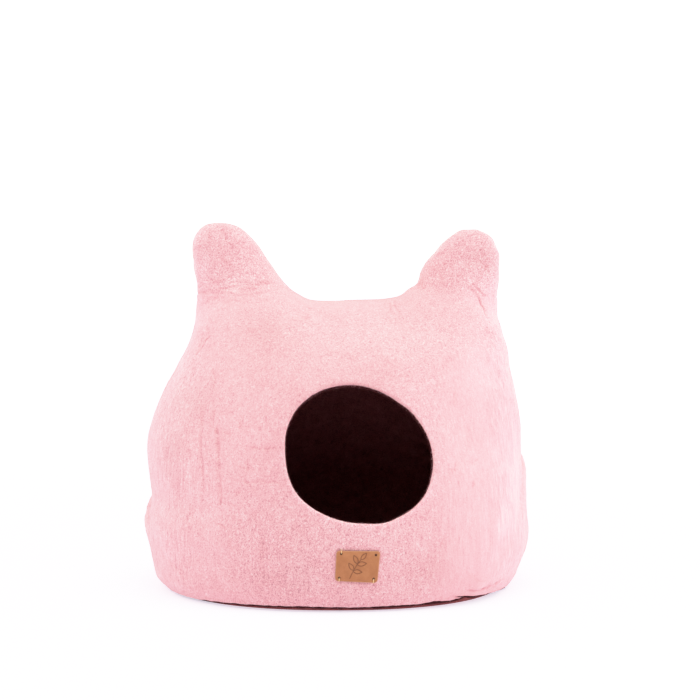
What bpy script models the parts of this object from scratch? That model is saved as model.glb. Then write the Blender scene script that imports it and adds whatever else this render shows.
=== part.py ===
"""Felt cat cave: one seamless hollow body of felted wool with two ear lobes and
an egg-shaped entrance, and a small leather patch sewn on under the entrance.

Units are metres, +Z is up and the entrance faces -Y. The origin is on the floor,
under the middle of the body. The tables below are in millimetres.

The felt is worked out from level cross-sections: each row of BODY gives how far
the body reaches to its left, right, front and back at one height, and each ear
has rows for its outer edge, inner edge and half depth. The entrance is a row of
radii around its own middle. The wall is then laid out as rows that run from the
rim of the entrance over the outline of the front view to the middle of the back,
and the inside follows it one felt thickness further in.
"""

import math

import bmesh
import bpy
import numpy as np

MM = 0.001

# ---------------------------------------------------------------- sizes (mm)
FELT = 7.0                 # thickness of the felted wall
SPOKES = 76                # rows around the entrance, from its rim to the back
RINGS = 28                 # points along each row
BASE_FIRST, BASE_LAST = 9, 20     # the points of a row that end the flat base
CORNER_OUT = 16.0          # rounding between wall and base: how far in ...
CORNER_UP = 20.0           # ... and how far up
CAP_FROM, CAP_TO = 205.0, 332.0   # where the crown starts, and the saddle's height
FRONTAL_SQUARE = 5.0       # squareness of the outline between the ears
BLEND, BLEND_FACE = 14.0, 44.0    # softness of the join of ear and body: ridge, faces

# height, left, right, front and back reach, and exponent of the cross-section
BODY = np.array([
    # z, left, right, front, back, exponent
    (0, 205, 201.5, 202, 197, 2.2),
    (20, 212, 209, 207, 205, 2.2),
    (45, 214, 216, 209, 209, 2.2),
    (75, 220, 217, 208, 209, 2.2),
    (105, 215, 215.5, 204, 206, 2.2),
    (135, 219, 215, 198, 202, 2.2),
    (165, 221, 213.5, 190, 195, 2.15),
    (195, 215, 213, 180, 187, 2.1),
    (225, 203.5, 207.5, 168, 176, 2.1),
    (255, 188, 202, 154, 161, 2.05),
    (285, 172.5, 199, 138, 142, 2.0),
    (325, 159.5, 182, 112, 116, 2.0),
], float)

# slack folds of felt that stand out low on the two sides, towards the back
LOBES = np.array([
    # direction and spread in degrees, top, its droop, bottom, their softness, reach
    (148, 38, 110, 26, 34, 15, 34, 12.0),
    (30, 36, 162, 40, 34, 13, 40, 13.0),
], float)

EARS = {
    # height, outer edge, inner edge, half depth
    "left": dict(tip=421.0, cap=36.0, middle=2.0, rows=np.array([
        (300, -166, -40, 62),
        (330, -164, -41, 51),
        (353, -164.5, -63, 41),
        (381, -168.5, -82.5, 31),
        (403, -170, -97.5, 25),
        (425, -168.5, -117, 21)], float)),
    "right": dict(tip=413.5, cap=34.0, middle=10.0, rows=np.array([
        (300, 188, 62, 60),
        (330, 186, 72, 49),
        (357, 188.5, 95.5, 39),
        (375, 189.5, 105.5, 32),
        (397, 186.5, 121.5, 26),
        (417, 182, 132.5, 21)], float)),
}

# where the rows start in the front view: low inside the entrance, because both
# ears' inner edges can be seen from there
START_X, START_Z = 22.0, 126.0

# entrance: its middle in the front view, and its radius every 30 degrees
DOOR_X, DOOR_Z = 23.0, 168.0
DOOR = np.array([
    # degrees, radius
    (0, 82.1), (30, 74.3), (60, 69.6), (90, 72.0), (120, 77.3), (150, 81.0),
    (180, 77.3), (210, 76.5), (240, 71.3), (270, 71.2), (300, 78.6), (330, 85.2),
], float)

# leather patch
PATCH_X, PATCH_Z = 23.0, 51.3
PATCH_WIDE, PATCH_HIGH, PATCH_THICK = 45.5, 32.0, 1.4
PATCH_TURN = -3.0          # degrees, clockwise as seen from the front
PATCH_CORNER = 2.2
PATCH_GAP = 0.3            # from the wall to the leather's back
HOLE_IN, HOLE_RADIUS = 4.0, 0.8   # stitch holes: in from each edge, and radius


# ---------------------------------------------------------------- small helpers
def cubic(x, xs, ys):
    """A smooth curve through the rows of a table, read at x."""
    h = np.diff(xs)
    d = np.diff(ys) / h
    m = np.empty_like(ys)
    m[1:-1] = (d[:-1] * h[1:] + d[1:] * h[:-1]) / (h[1:] + h[:-1])
    m[0], m[-1] = d[0], d[-1]
    x = np.clip(x, xs[0], xs[-1])
    i = np.clip(np.searchsorted(xs, x, side="right") - 1, 0, len(xs) - 2)
    t = (x - xs[i]) / h[i]
    t2, t3 = t * t, t * t * t
    return ((2 * t3 - 3 * t2 + 1) * ys[i] + (t3 - 2 * t2 + t) * h[i] * m[i]
            + (3 * t2 - 2 * t3) * ys[i + 1] + (t3 - t2) * h[i] * m[i + 1])


def smooth(t):
    t = np.clip(t, 0, 1)
    return t * t * (3 - 2 * t)


# ---------------------------------------------------------------- the felt's outside
def body_field(x, y, z):
    """Below zero inside the body without its ears."""
    low = np.clip(CORNER_UP - z, 0, CORNER_UP) / CORNER_UP
    inset = CORNER_OUT * (1 - np.sqrt(np.clip(1 - low ** 2, 0, 1)))
    rows = BODY[:, 0]
    wide = np.where(x < 0, cubic(z, rows, BODY[:, 1]), cubic(z, rows, BODY[:, 2])) - inset
    deep = np.where(y < 0, cubic(z, rows, BODY[:, 3]), cubic(z, rows, BODY[:, 4])) - inset
    n = cubic(z, rows, BODY[:, 5])
    up = np.clip(z - CAP_FROM, 0, None) / (CAP_TO - CAP_FROM)
    flat = ((np.abs(x) / wide) ** FRONTAL_SQUARE + up ** FRONTAL_SQUARE) ** (1 / FRONTAL_SQUARE)
    return (flat ** n + (np.abs(y) / deep) ** n) ** (1 / n) - 1


def ear_field(x, y, z, ear):
    """Below zero inside one ear lobe."""
    rows = ear["rows"]
    outer, inner, deep = (cubic(z, rows[:, 0], rows[:, k]) for k in (1, 2, 3))
    middle, wide = (outer + inner) / 2, np.abs(outer - inner) / 2
    up = np.clip(z - (ear["tip"] - ear["cap"]), 0, None) / ear["cap"]
    flat = ((np.abs(x - middle) / wide) ** 2.6 + up ** 2.6) ** (1 / 2.6)
    return (flat ** 2.2 + (np.abs(y - ear["middle"]) / deep) ** 2.2) ** (1 / 2.2) - 1


def distance(field, x, y, z, *more):
    """The field turned into millimetres by its own slope."""
    e = 0.5
    slope = 0
    for dx, dy, dz in ((e, 0, 0), (0, e, 0), (0, 0, e)):
        step = (field(x + dx, y + dy, z + dz, *more) - field(x - dx, y - dy, z - dz, *more)) / (2 * e)
        slope = slope + step * step
    return field(x, y, z, *more) / np.maximum(np.sqrt(slope), 2e-3)


def lobes(x, y, z):
    """How far the slack folds stand out at this place."""
    around = np.degrees(np.arctan2(y, x))
    out = 0.0
    for mid, spread, top, droop, low, soft_top, soft_low, reach in LOBES:
        turn = ((around - mid + 180) % 360 - 180) / spread
        ledge = top - droop * turn ** 2
        out = out + (reach * np.exp(-turn ** 2)
                     * smooth((ledge - z) / soft_top + 0.5) * smooth((z - low) / soft_low + 0.5))
    return out


def felt(x, y, z):
    """About the distance to the outside of the felt, below zero inside it."""
    d = distance(body_field, x, y, z)
    for ear in EARS.values():
        e = distance(ear_field, x, y, z, ear)
        soft = BLEND + (BLEND_FACE - BLEND) * smooth((np.abs(y - ear["middle"]) - 12) / 55)
        h = np.clip(0.5 + 0.5 * (e - d) / soft, 0, 1)
        d = e * (1 - h) + d * h - soft * h * (1 - h)
    return d - lobes(x, y, z)


def outward(p):
    """Unit directions straight out of the felt at the points p."""
    e = 0.6
    x, y, z = p[..., 0], p[..., 1], p[..., 2]
    g = np.stack([felt(x + e, y, z) - felt(x - e, y, z),
                  felt(x, y + e, z) - felt(x, y - e, z),
                  felt(x, y, z + e) - felt(x, y, z - e)], -1)
    return g / np.linalg.norm(g, axis=-1)[..., None]


def edge(inside, lo, hi):
    """Where a test stops being true, between lo, where it holds, and hi."""
    for _ in range(36):
        mid = (lo + hi) / 2
        yes = inside(mid)
        lo, hi = np.where(yes, mid, lo), np.where(yes, hi, mid)
    return (lo + hi) / 2


def middle_plane(x, z):
    """Depth of the ridge: the right ear stands a little behind the left."""
    return EARS["right"]["middle"] * smooth((z - 300) / 60) * smooth((x - 40) / 40)


def wall_y(x, z, side=-1):
    """Depth of the front (side -1) or back (side 1) of the felt at x, z."""
    mid = middle_plane(x, z)
    return mid + side * edge(lambda t: felt(x, mid + side * t, z) < 0,
                             np.zeros_like(x), np.full_like(x, 260.0))


def outline(turn):
    """Radius from the rows' start to the front view's outline, cut at the floor."""
    c, s = np.cos(turn), np.sin(turn)

    def inside(r):
        x, z = START_X + r * c, START_Z + r * s
        return (z >= 0) & (felt(x, middle_plane(x, z), np.maximum(z, 0)) < 0)

    steps = np.linspace(0, 420, 106)
    yes = np.array([inside(np.full_like(turn, r)) for r in steps])
    last = len(steps) - 1 - np.argmax(yes[::-1], axis=0)
    r = edge(inside, steps[last], steps[np.minimum(last + 1, len(steps) - 1)])
    return np.minimum(r, floor_radius(turn))


def floor_radius(turn):
    s = np.sin(turn)
    return np.where(s < 0, START_Z / np.maximum(-s, 1e-9), 1e9)


def by_turning(curve, count, gain, closed=False):
    """Places along a curve, closer together where it turns: arc lengths for count points."""
    p = np.vstack([curve, curve[:1]]) if closed else curve
    length = np.concatenate([[0], np.cumsum(np.linalg.norm(np.diff(p, axis=0), axis=1))])
    u = np.linspace(0, length[-1], 1200)
    q = np.stack([np.interp(u, length, p[:, k]) for k in range(p.shape[1])], -1)
    t = np.gradient(q, u, axis=0)
    t /= np.linalg.norm(t, axis=1)[:, None]
    bend = np.minimum(np.linalg.norm(np.gradient(t, u, axis=0), axis=1), 0.09)
    w = 1 + gain * bend * length[-1] / 6
    soft = np.hanning(61) / np.hanning(61).sum()
    w = np.convolve(np.pad(w, 30, mode="wrap" if closed else "edge"), soft, mode="valid")
    total = np.concatenate([[0], np.cumsum((w[1:] + w[:-1]) / 2)])
    places = np.linspace(0, total[-1], count + 1 if closed else count)
    return length, np.interp(places[:count], total, u)


def spokes(count):
    """Directions around the entrance, closer together where the outline turns sharply."""
    turn = np.linspace(0, 2 * np.pi, 720, endpoint=False)
    r = outline(turn)
    c = np.stack([r * np.cos(turn), r * np.sin(turn)], -1)
    length, places = by_turning(c, count, 0.55, closed=True)
    return np.interp(places, length, np.append(turn, 2 * np.pi))


def door_radius(turn):
    """Radius from the rows' start to the entrance's rim."""
    deg = np.arange(0, 360, 0.5)
    d = np.vstack([DOOR[-3:] - (360, 0), DOOR, DOOR[:3] + (360, 0)])
    r = cubic(deg, d[:, 0], d[:, 1])
    x = DOOR_X + r * np.cos(np.radians(deg)) - START_X
    z = DOOR_Z + r * np.sin(np.radians(deg)) - START_Z
    seen = np.arctan2(z, x) % (2 * np.pi)
    order = np.argsort(seen)
    return np.interp(turn % (2 * np.pi), seen[order], np.hypot(x, z)[order], period=2 * np.pi)


def outside_rows(turn, rings, base_first, base_last):
    """Rows of points over the outside, from the entrance's rim to the middle of the back."""
    c, s = np.cos(turn)[:, None], np.sin(turn)[:, None]
    end, start = outline(turn)[:, None], door_radius(turn)[:, None]
    q = np.sin(np.linspace(0, np.pi / 2, 60))[None, :]
    r_front, r_back = start + (end - start) * q, end * q[:, ::-1]
    front = wall_y(START_X + r_front * c, np.maximum(START_Z + r_front * s, 0), -1)
    back = wall_y(START_X + r_back * c, np.maximum(START_Z + r_back * s, 0), 1)
    t = (np.arange(1, 40) / 40)[None, :]
    r = np.hstack([r_front, np.repeat(end, 39, 1), r_back])
    y = np.hstack([front, front[:, -1:] * (1 - t) + back[:, :1] * t, back])
    p = np.stack([START_X + r * c, y, np.maximum(START_Z + r * s, 0)], -1)
    on_floor = end[:, 0] >= floor_radius(turn) - 1e-6
    lengths, shares, base = [], [], []
    for row in p:
        step = np.append(0, np.cumsum(np.linalg.norm(np.diff(row, axis=0), axis=1)))
        base.append((step[59] / step[-1], step[99] / step[-1]))
        keep = np.append(True, np.diff(step) > 1e-6)
        length, places = by_turning(row[keep], rings, 0.6)
        lengths.append((row[keep], length))
        shares.append(places / length[-1])
    # neighbouring rows place their points alike
    shares = np.array(shares)
    reach = max(1, len(turn) // 24)
    soft = np.hanning(2 * reach + 3)[1:-1]
    shares = sum(w * np.roll(shares, k, 0) for k, w in zip(range(-reach, reach + 1), soft / soft.sum()))
    rows = np.empty((len(turn), rings, 3))
    index = np.arange(rings)
    for i, (row, length) in enumerate(lengths):
        share = shares[i]
        if on_floor[i]:                  # two points lie on the flat base's own edges
            marks = [0, base_first, base_last, rings - 1]
            aim = [0, min(base[i][0], share[base_first]), max(base[i][1], share[base_last]), 1]
            share = share + np.interp(index, marks, np.array(aim) - share[marks])
        for k in range(3):
            rows[i, :, k] = np.interp(share * length[-1], length, row[:, k])
    rows[:, -1] = rows[:, -1].mean(0)
    return rows


# ---------------------------------------------------------------- scene helpers
def material(name, colour, rough):
    m = bpy.data.materials.new(name)
    m.use_nodes = True
    b = m.node_tree.nodes["Principled BSDF"]
    b.inputs["Base Color"].default_value = (*colour, 1)
    b.inputs["Roughness"].default_value = rough
    b.inputs["Metallic"].default_value = 0.0
    m.diffuse_color = (*colour, 1)
    return m


def add_object(name, bm, mat):
    bmesh.ops.recalc_face_normals(bm, faces=bm.faces)
    mesh = bpy.data.meshes.new(name)
    bm.to_mesh(mesh)
    bm.free()
    mesh.materials.append(mat)
    ob = bpy.data.objects.new(name, mesh)
    bpy.context.scene.collection.objects.link(ob)
    return ob


# ---------------------------------------------------------------- the pieces
def felt_body():
    turn = spokes(SPOKES)
    outer = outside_rows(turn, RINGS, BASE_FIRST, BASE_LAST)
    n = outward(outer)
    flat = outer[..., 2] < 1e-6          # the base, whose inside is level too
    n[flat] = (0, 0, -1)
    inner = outer - n * FELT
    count = len(turn)
    bm = bmesh.new()

    def put(grid):
        rows = [[bm.verts.new(p * MM) for p in row[:-1]] for row in grid]
        pole = bm.verts.new(grid[0, -1] * MM)
        return [row + [pole] for row in rows]

    out, ins = put(outer), put(inner)
    for i in range(count):
        j = (i + 1) % count
        for k in range(RINGS - 1):
            for g in (out, ins):
                a, b, c, d = g[i][k], g[i][k + 1], g[j][k + 1], g[j][k]
                bm.faces.new((a, b, d) if b is c else (a, b, c, d))
        bm.faces.new((out[i][0], out[j][0], ins[j][0], ins[i][0]))
    bmesh.ops.triangulate(bm, faces=[f for f in bm.faces if len(f.verts) > 3],
                          quad_method="SHORT_EDGE")
    ob = add_object("felt_body", bm, material("pink_wool_felt", (0.86, 0.42, 0.46), 0.95))
    ob.data.shade_smooth()
    ob.data.set_sharp_from_angle(angle=math.radians(50))
    return ob


def leather_patch():
    w, h, r = PATCH_WIDE / 2, PATCH_HIGH / 2, PATCH_CORNER
    edge_points = []
    for cx, cy, first in ((w - r, h - r, 0), (r - w, h - r, 90), (r - w, r - h, 180), (w - r, r - h, 270)):
        for k in range(5):
            a = math.radians(first + 22.5 * k)
            edge_points.append((cx + r * math.cos(a), cy + r * math.sin(a)))
    loops = [edge_points]
    for sx in (-1, 1):
        for sy in (-1, 1):
            cx, cy = sx * (w - HOLE_IN), sy * (h - HOLE_IN)
            loops.append([(cx + HOLE_RADIUS * math.cos(math.radians(45 * k)),
                           cy + HOLE_RADIUS * math.sin(math.radians(45 * k))) for k in range(8)])
    bm = bmesh.new()
    for loop in loops:
        vs = [bm.verts.new((x, y, 0)) for x, y in loop]
        for a, b in zip(vs, vs[1:] + vs[:1]):
            bm.edges.new((a, b))
    bmesh.ops.triangle_fill(bm, use_beauty=True, use_dissolve=False, edges=bm.edges[:], normal=(0, 0, 1))
    for x in (-14, -7, 0, 7, 14):
        bmesh.ops.bisect_plane(bm, geom=bm.verts[:] + bm.edges[:] + bm.faces[:],
                               dist=1e-5, plane_co=(x, 0, 0), plane_no=(1, 0, 0))
    for y in (0,):
        bmesh.ops.bisect_plane(bm, geom=bm.verts[:] + bm.edges[:] + bm.faces[:],
                               dist=1e-5, plane_co=(0, y, 0), plane_no=(0, 1, 0))
    bmesh.ops.triangulate(bm, faces=bm.faces[:])
    back = bm.faces[:]
    top = bmesh.ops.extrude_face_region(bm, geom=back)
    raised = {v for v in top["geom"] if isinstance(v, bmesh.types.BMVert)}
    # lay the flat plate on the wall: across and up along it, and out from it
    t = math.radians(PATCH_TURN)
    flat = np.array([v.co[:] for v in bm.verts])
    x = PATCH_X + flat[:, 0] * math.cos(t) - flat[:, 1] * math.sin(t)
    z = PATCH_Z + flat[:, 0] * math.sin(t) + flat[:, 1] * math.cos(t)
    on_wall = np.stack([x, wall_y(x, z), z], -1)
    n = outward(on_wall)
    lift = np.array([PATCH_GAP + (PATCH_THICK if v in raised else 0) for v in bm.verts])
    for v, p in zip(bm.verts, (on_wall + n * lift[:, None]) * MM):
        v.co = p
    ob = add_object("leather_patch", bm, material("tan_leather", (0.50, 0.21, 0.09), 0.6))
    return ob


def main():
    for ob in list(bpy.data.objects):
        bpy.data.objects.remove(ob, do_unlink=True)
    felt_body()
    leather_patch()


main()
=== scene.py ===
"""Felt cat cave: the visual model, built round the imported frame.

One seamless body of hand-felted wool, pink outside and dark brown inside, with
the creases, dimples and slack folds of such felt in its surface, a layer of
loose wool fibres, a brown hem where the brown layer shows under the pink one,
and a tan leather patch sewn on by a stitch at each corner.

The tables of the wall are the same as the model's own, in millimetres.
"""

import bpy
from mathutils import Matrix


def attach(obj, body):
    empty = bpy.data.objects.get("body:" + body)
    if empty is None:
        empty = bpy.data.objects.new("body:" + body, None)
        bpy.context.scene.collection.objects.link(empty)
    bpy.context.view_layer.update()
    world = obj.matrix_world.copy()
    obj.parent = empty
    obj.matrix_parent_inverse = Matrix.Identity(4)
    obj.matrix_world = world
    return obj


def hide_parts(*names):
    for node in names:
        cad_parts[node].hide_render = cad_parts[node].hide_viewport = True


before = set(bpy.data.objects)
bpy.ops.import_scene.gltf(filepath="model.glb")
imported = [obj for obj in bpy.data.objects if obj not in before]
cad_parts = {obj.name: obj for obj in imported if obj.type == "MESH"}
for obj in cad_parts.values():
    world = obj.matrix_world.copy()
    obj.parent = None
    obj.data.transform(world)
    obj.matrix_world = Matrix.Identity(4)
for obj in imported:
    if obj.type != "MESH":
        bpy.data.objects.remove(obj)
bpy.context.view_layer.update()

import math

import bmesh
import bpy
import numpy as np
from mathutils import Vector
from mathutils.geometry import delaunay_2d_cdt

MM = 0.001
scene = bpy.context.scene

# ---------------------------------------------------------------- camera
CAM = np.array((15.2, -2200.0, 370.0))      # mm
CAM_DOWN = math.radians(2.53)
CAM_FOCUS = 1880.0                          # pixels of a 700 pixel frame


def make_camera():
    data = bpy.data.cameras.new("camera")
    data.sensor_width = 36.0
    data.lens = 36.0 * CAM_FOCUS / 700.0
    data.clip_start, data.clip_end = 0.05, 500.0
    ob = bpy.data.objects.new("camera", data)
    ob.location = CAM * MM
    ob.rotation_euler = (math.pi / 2 - CAM_DOWN, 0.0, 0.0)
    scene.collection.objects.link(ob)
    scene.camera = ob


make_camera()

# ---------------------------------------------------------------- sizes (mm)
FELT = 7.0                 # thickness of the felted wall
CORNER_OUT = 16.0          # rounding between wall and base: how far in ...
CORNER_UP = 20.0           # ... and how far up
CAP_FROM, CAP_TO = 205.0, 332.0
FRONTAL_SQUARE = 5.0
BLEND, BLEND_FACE = 14.0, 44.0

BODY = np.array([
    # z, left, right, front, back, exponent
    (0, 205, 201.5, 202, 197, 2.2),
    (20, 212, 209, 207, 205, 2.2),
    (45, 214, 216, 209, 209, 2.2),
    (75, 220, 217, 208, 209, 2.2),
    (105, 215, 215.5, 204, 206, 2.2),
    (135, 219, 215, 198, 202, 2.2),
    (165, 221, 213.5, 190, 195, 2.15),
    (195, 215, 213, 180, 187, 2.1),
    (225, 203.5, 207.5, 168, 176, 2.1),
    (255, 188, 202, 154, 161, 2.05),
    (285, 172.5, 199, 138, 142, 2.0),
    (325, 159.5, 182, 112, 116, 2.0),
], float)

LOBES = np.array([
    # direction and spread in degrees, top, its droop, bottom, their softness, reach
    (148, 38, 110, 26, 34, 15, 34, 12.0),
    (30, 36, 162, 40, 34, 13, 40, 13.0),
], float)

EARS = {
    # height, outer edge, inner edge, half depth
    "left": dict(tip=421.0, cap=36.0, middle=2.0, rows=np.array([
        (300, -166, -40, 62),
        (330, -164, -41, 51),
        (353, -164.5, -63, 41),
        (381, -168.5, -82.5, 31),
        (403, -170, -97.5, 25),
        (425, -168.5, -117, 21)], float)),
    "right": dict(tip=413.5, cap=34.0, middle=10.0, rows=np.array([
        (300, 188, 62, 60),
        (330, 186, 72, 49),
        (357, 188.5, 95.5, 39),
        (375, 189.5, 105.5, 32),
        (397, 186.5, 121.5, 26),
        (417, 182, 132.5, 21)], float)),
}

START_X, START_Z = 22.0, 126.0
DOOR_X, DOOR_Z = 23.0, 168.0
DOOR = np.array([
    # degrees, radius
    (0, 82.1), (30, 74.8), (60, 71.0), (90, 74.2), (120, 78.9), (150, 81.6),
    (180, 77.9), (210, 76.9), (240, 71.6), (270, 71.4), (300, 78.6), (330, 85.2),
], float)

PATCH_X, PATCH_Z = 23.0, 51.3
PATCH_WIDE, PATCH_HIGH, PATCH_THICK = 45.5, 32.0, 1.4
PATCH_TURN = -3.0
PATCH_CORNER = 3.3
PATCH_GAP = 0.3
HOLE_RADIUS = 0.9
# how far in from the sides and from the top or bottom each hole is, and what its corner has pulled
CORNERS = {(-1, 1): (5.2, 3.2, -0.3, -0.4), (1, 1): (4.4, 3.9, 0.9, 1.0),
           (-1, -1): (4.3, 3.6, -0.2, -0.7), (1, -1): (4.4, 4.0, -0.7, -1.0)}

# how finely the visual model's felt is laid out
SPOKES, RINGS = 288, 136
BASE_FIRST, BASE_LAST = 56, 94
INNER_RINGS = 46
LIP = 4.4                  # how far out the rounding of the opening's edge begins


# ---------------------------------------------------------------- the wall's form
def cubic(x, xs, ys):
    h = np.diff(xs)
    d = np.diff(ys) / h
    m = np.empty_like(ys)
    m[1:-1] = (d[:-1] * h[1:] + d[1:] * h[:-1]) / (h[1:] + h[:-1])
    m[0], m[-1] = d[0], d[-1]
    x = np.clip(x, xs[0], xs[-1])
    i = np.clip(np.searchsorted(xs, x, side="right") - 1, 0, len(xs) - 2)
    t = (x - xs[i]) / h[i]
    t2, t3 = t * t, t * t * t
    return ((2 * t3 - 3 * t2 + 1) * ys[i] + (t3 - 2 * t2 + t) * h[i] * m[i]
            + (3 * t2 - 2 * t3) * ys[i + 1] + (t3 - t2) * h[i] * m[i + 1])


def smooth(t):
    t = np.clip(t, 0, 1)
    return t * t * (3 - 2 * t)


def body_field(x, y, z):
    low = np.clip(CORNER_UP - z, 0, CORNER_UP) / CORNER_UP
    inset = CORNER_OUT * (1 - np.sqrt(np.clip(1 - low ** 2, 0, 1)))
    rows = BODY[:, 0]
    wide = np.where(x < 0, cubic(z, rows, BODY[:, 1]), cubic(z, rows, BODY[:, 2])) - inset
    deep = np.where(y < 0, cubic(z, rows, BODY[:, 3]), cubic(z, rows, BODY[:, 4])) - inset
    n = cubic(z, rows, BODY[:, 5])
    up = np.clip(z - CAP_FROM, 0, None) / (CAP_TO - CAP_FROM)
    flat = ((np.abs(x) / wide) ** FRONTAL_SQUARE + up ** FRONTAL_SQUARE) ** (1 / FRONTAL_SQUARE)
    return (flat ** n + (np.abs(y) / deep) ** n) ** (1 / n) - 1


def ear_field(x, y, z, ear):
    rows = ear["rows"]
    outer, inner, deep = (cubic(z, rows[:, 0], rows[:, k]) for k in (1, 2, 3))
    middle, wide = (outer + inner) / 2, np.abs(outer - inner) / 2
    up = np.clip(z - (ear["tip"] - ear["cap"]), 0, None) / ear["cap"]
    flat = ((np.abs(x - middle) / wide) ** 2.6 + up ** 2.6) ** (1 / 2.6)
    return (flat ** 2.2 + (np.abs(y - ear["middle"]) / deep) ** 2.2) ** (1 / 2.2) - 1


def distance(field, x, y, z, *more):
    e = 0.5
    slope = 0
    for dx, dy, dz in ((e, 0, 0), (0, e, 0), (0, 0, e)):
        step = (field(x + dx, y + dy, z + dz, *more) - field(x - dx, y - dy, z - dz, *more)) / (2 * e)
        slope = slope + step * step
    return field(x, y, z, *more) / np.maximum(np.sqrt(slope), 2e-3)


def lobes(x, y, z):
    around = np.degrees(np.arctan2(y, x))
    out = 0.0
    for mid, spread, top, droop, low, soft_top, soft_low, reach in LOBES:
        turn = ((around - mid + 180) % 360 - 180) / spread
        ledge = top - droop * turn ** 2
        out = out + (reach * np.exp(-turn ** 2)
                     * smooth((ledge - z) / soft_top + 0.5) * smooth((z - low) / soft_low + 0.5))
    return out


def felt(x, y, z):
    """About the distance to the outside of the felt, below zero inside it."""
    d = distance(body_field, x, y, z)
    for ear in EARS.values():
        e = distance(ear_field, x, y, z, ear)
        soft = BLEND + (BLEND_FACE - BLEND) * smooth((np.abs(y - ear["middle"]) - 12) / 55)
        h = np.clip(0.5 + 0.5 * (e - d) / soft, 0, 1)
        d = e * (1 - h) + d * h - soft * h * (1 - h)
    return d - lobes(x, y, z)


def outward(p):
    e = 0.6
    x, y, z = p[..., 0], p[..., 1], p[..., 2]
    g = np.stack([felt(x + e, y, z) - felt(x - e, y, z),
                  felt(x, y + e, z) - felt(x, y - e, z),
                  felt(x, y, z + e) - felt(x, y, z - e)], -1)
    return g / np.linalg.norm(g, axis=-1)[..., None]


def edge(inside, lo, hi, rounds=30):
    for _ in range(rounds):
        mid = (lo + hi) / 2
        yes = inside(mid)
        lo, hi = np.where(yes, mid, lo), np.where(yes, hi, mid)
    return (lo + hi) / 2


def middle_plane(x, z):
    return EARS["right"]["middle"] * smooth((z - 300) / 60) * smooth((x - 40) / 40)


def wall_y(x, z, side=-1):
    mid = middle_plane(x, z)
    return mid + side * edge(lambda t: felt(x, mid + side * t, z) < 0,
                             np.zeros_like(x), np.full_like(x, 260.0), 24)


def outline(turn):
    c, s = np.cos(turn), np.sin(turn)

    def inside(r):
        x, z = START_X + r * c, START_Z + r * s
        return (z >= 0) & (felt(x, middle_plane(x, z), np.maximum(z, 0)) < 0)

    steps = np.linspace(0, 420, 106)
    yes = np.array([inside(np.full_like(turn, r)) for r in steps])
    last = len(steps) - 1 - np.argmax(yes[::-1], axis=0)
    r = edge(inside, steps[last], steps[np.minimum(last + 1, len(steps) - 1)])
    return np.minimum(r, floor_radius(turn))


def floor_radius(turn):
    s = np.sin(turn)
    return np.where(s < 0, START_Z / np.maximum(-s, 1e-9), 1e9)


def by_turning(curve, count, gain, closed=False):
    p = np.vstack([curve, curve[:1]]) if closed else curve
    length = np.concatenate([[0], np.cumsum(np.linalg.norm(np.diff(p, axis=0), axis=1))])
    u = np.linspace(0, length[-1], 1200)
    q = np.stack([np.interp(u, length, p[:, k]) for k in range(p.shape[1])], -1)
    t = np.gradient(q, u, axis=0)
    t /= np.linalg.norm(t, axis=1)[:, None]
    bend = np.minimum(np.linalg.norm(np.gradient(t, u, axis=0), axis=1), 0.09)
    w = 1 + gain * bend * length[-1] / 6
    soft = np.hanning(61) / np.hanning(61).sum()
    w = np.convolve(np.pad(w, 30, mode="wrap" if closed else "edge"), soft, mode="valid")
    total = np.concatenate([[0], np.cumsum((w[1:] + w[:-1]) / 2)])
    places = np.linspace(0, total[-1], count + 1 if closed else count)
    return length, np.interp(places[:count], total, u)


def spokes(count):
    turn = np.linspace(0, 2 * np.pi, 720, endpoint=False)
    r = outline(turn)
    c = np.stack([r * np.cos(turn), r * np.sin(turn)], -1)
    length, places = by_turning(c, count, 0.4, closed=True)
    return np.interp(places, length, np.append(turn, 2 * np.pi))


def door_radius(turn):
    deg = np.arange(0, 360, 0.5)
    d = np.vstack([DOOR[-3:] - (360, 0), DOOR, DOOR[:3] + (360, 0)])
    r = cubic(deg, d[:, 0], d[:, 1])
    x = DOOR_X + r * np.cos(np.radians(deg)) - START_X
    z = DOOR_Z + r * np.sin(np.radians(deg)) - START_Z
    seen = np.arctan2(z, x) % (2 * np.pi)
    order = np.argsort(seen)
    return np.interp(turn % (2 * np.pi), seen[order], np.hypot(x, z)[order], period=2 * np.pi)


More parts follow.
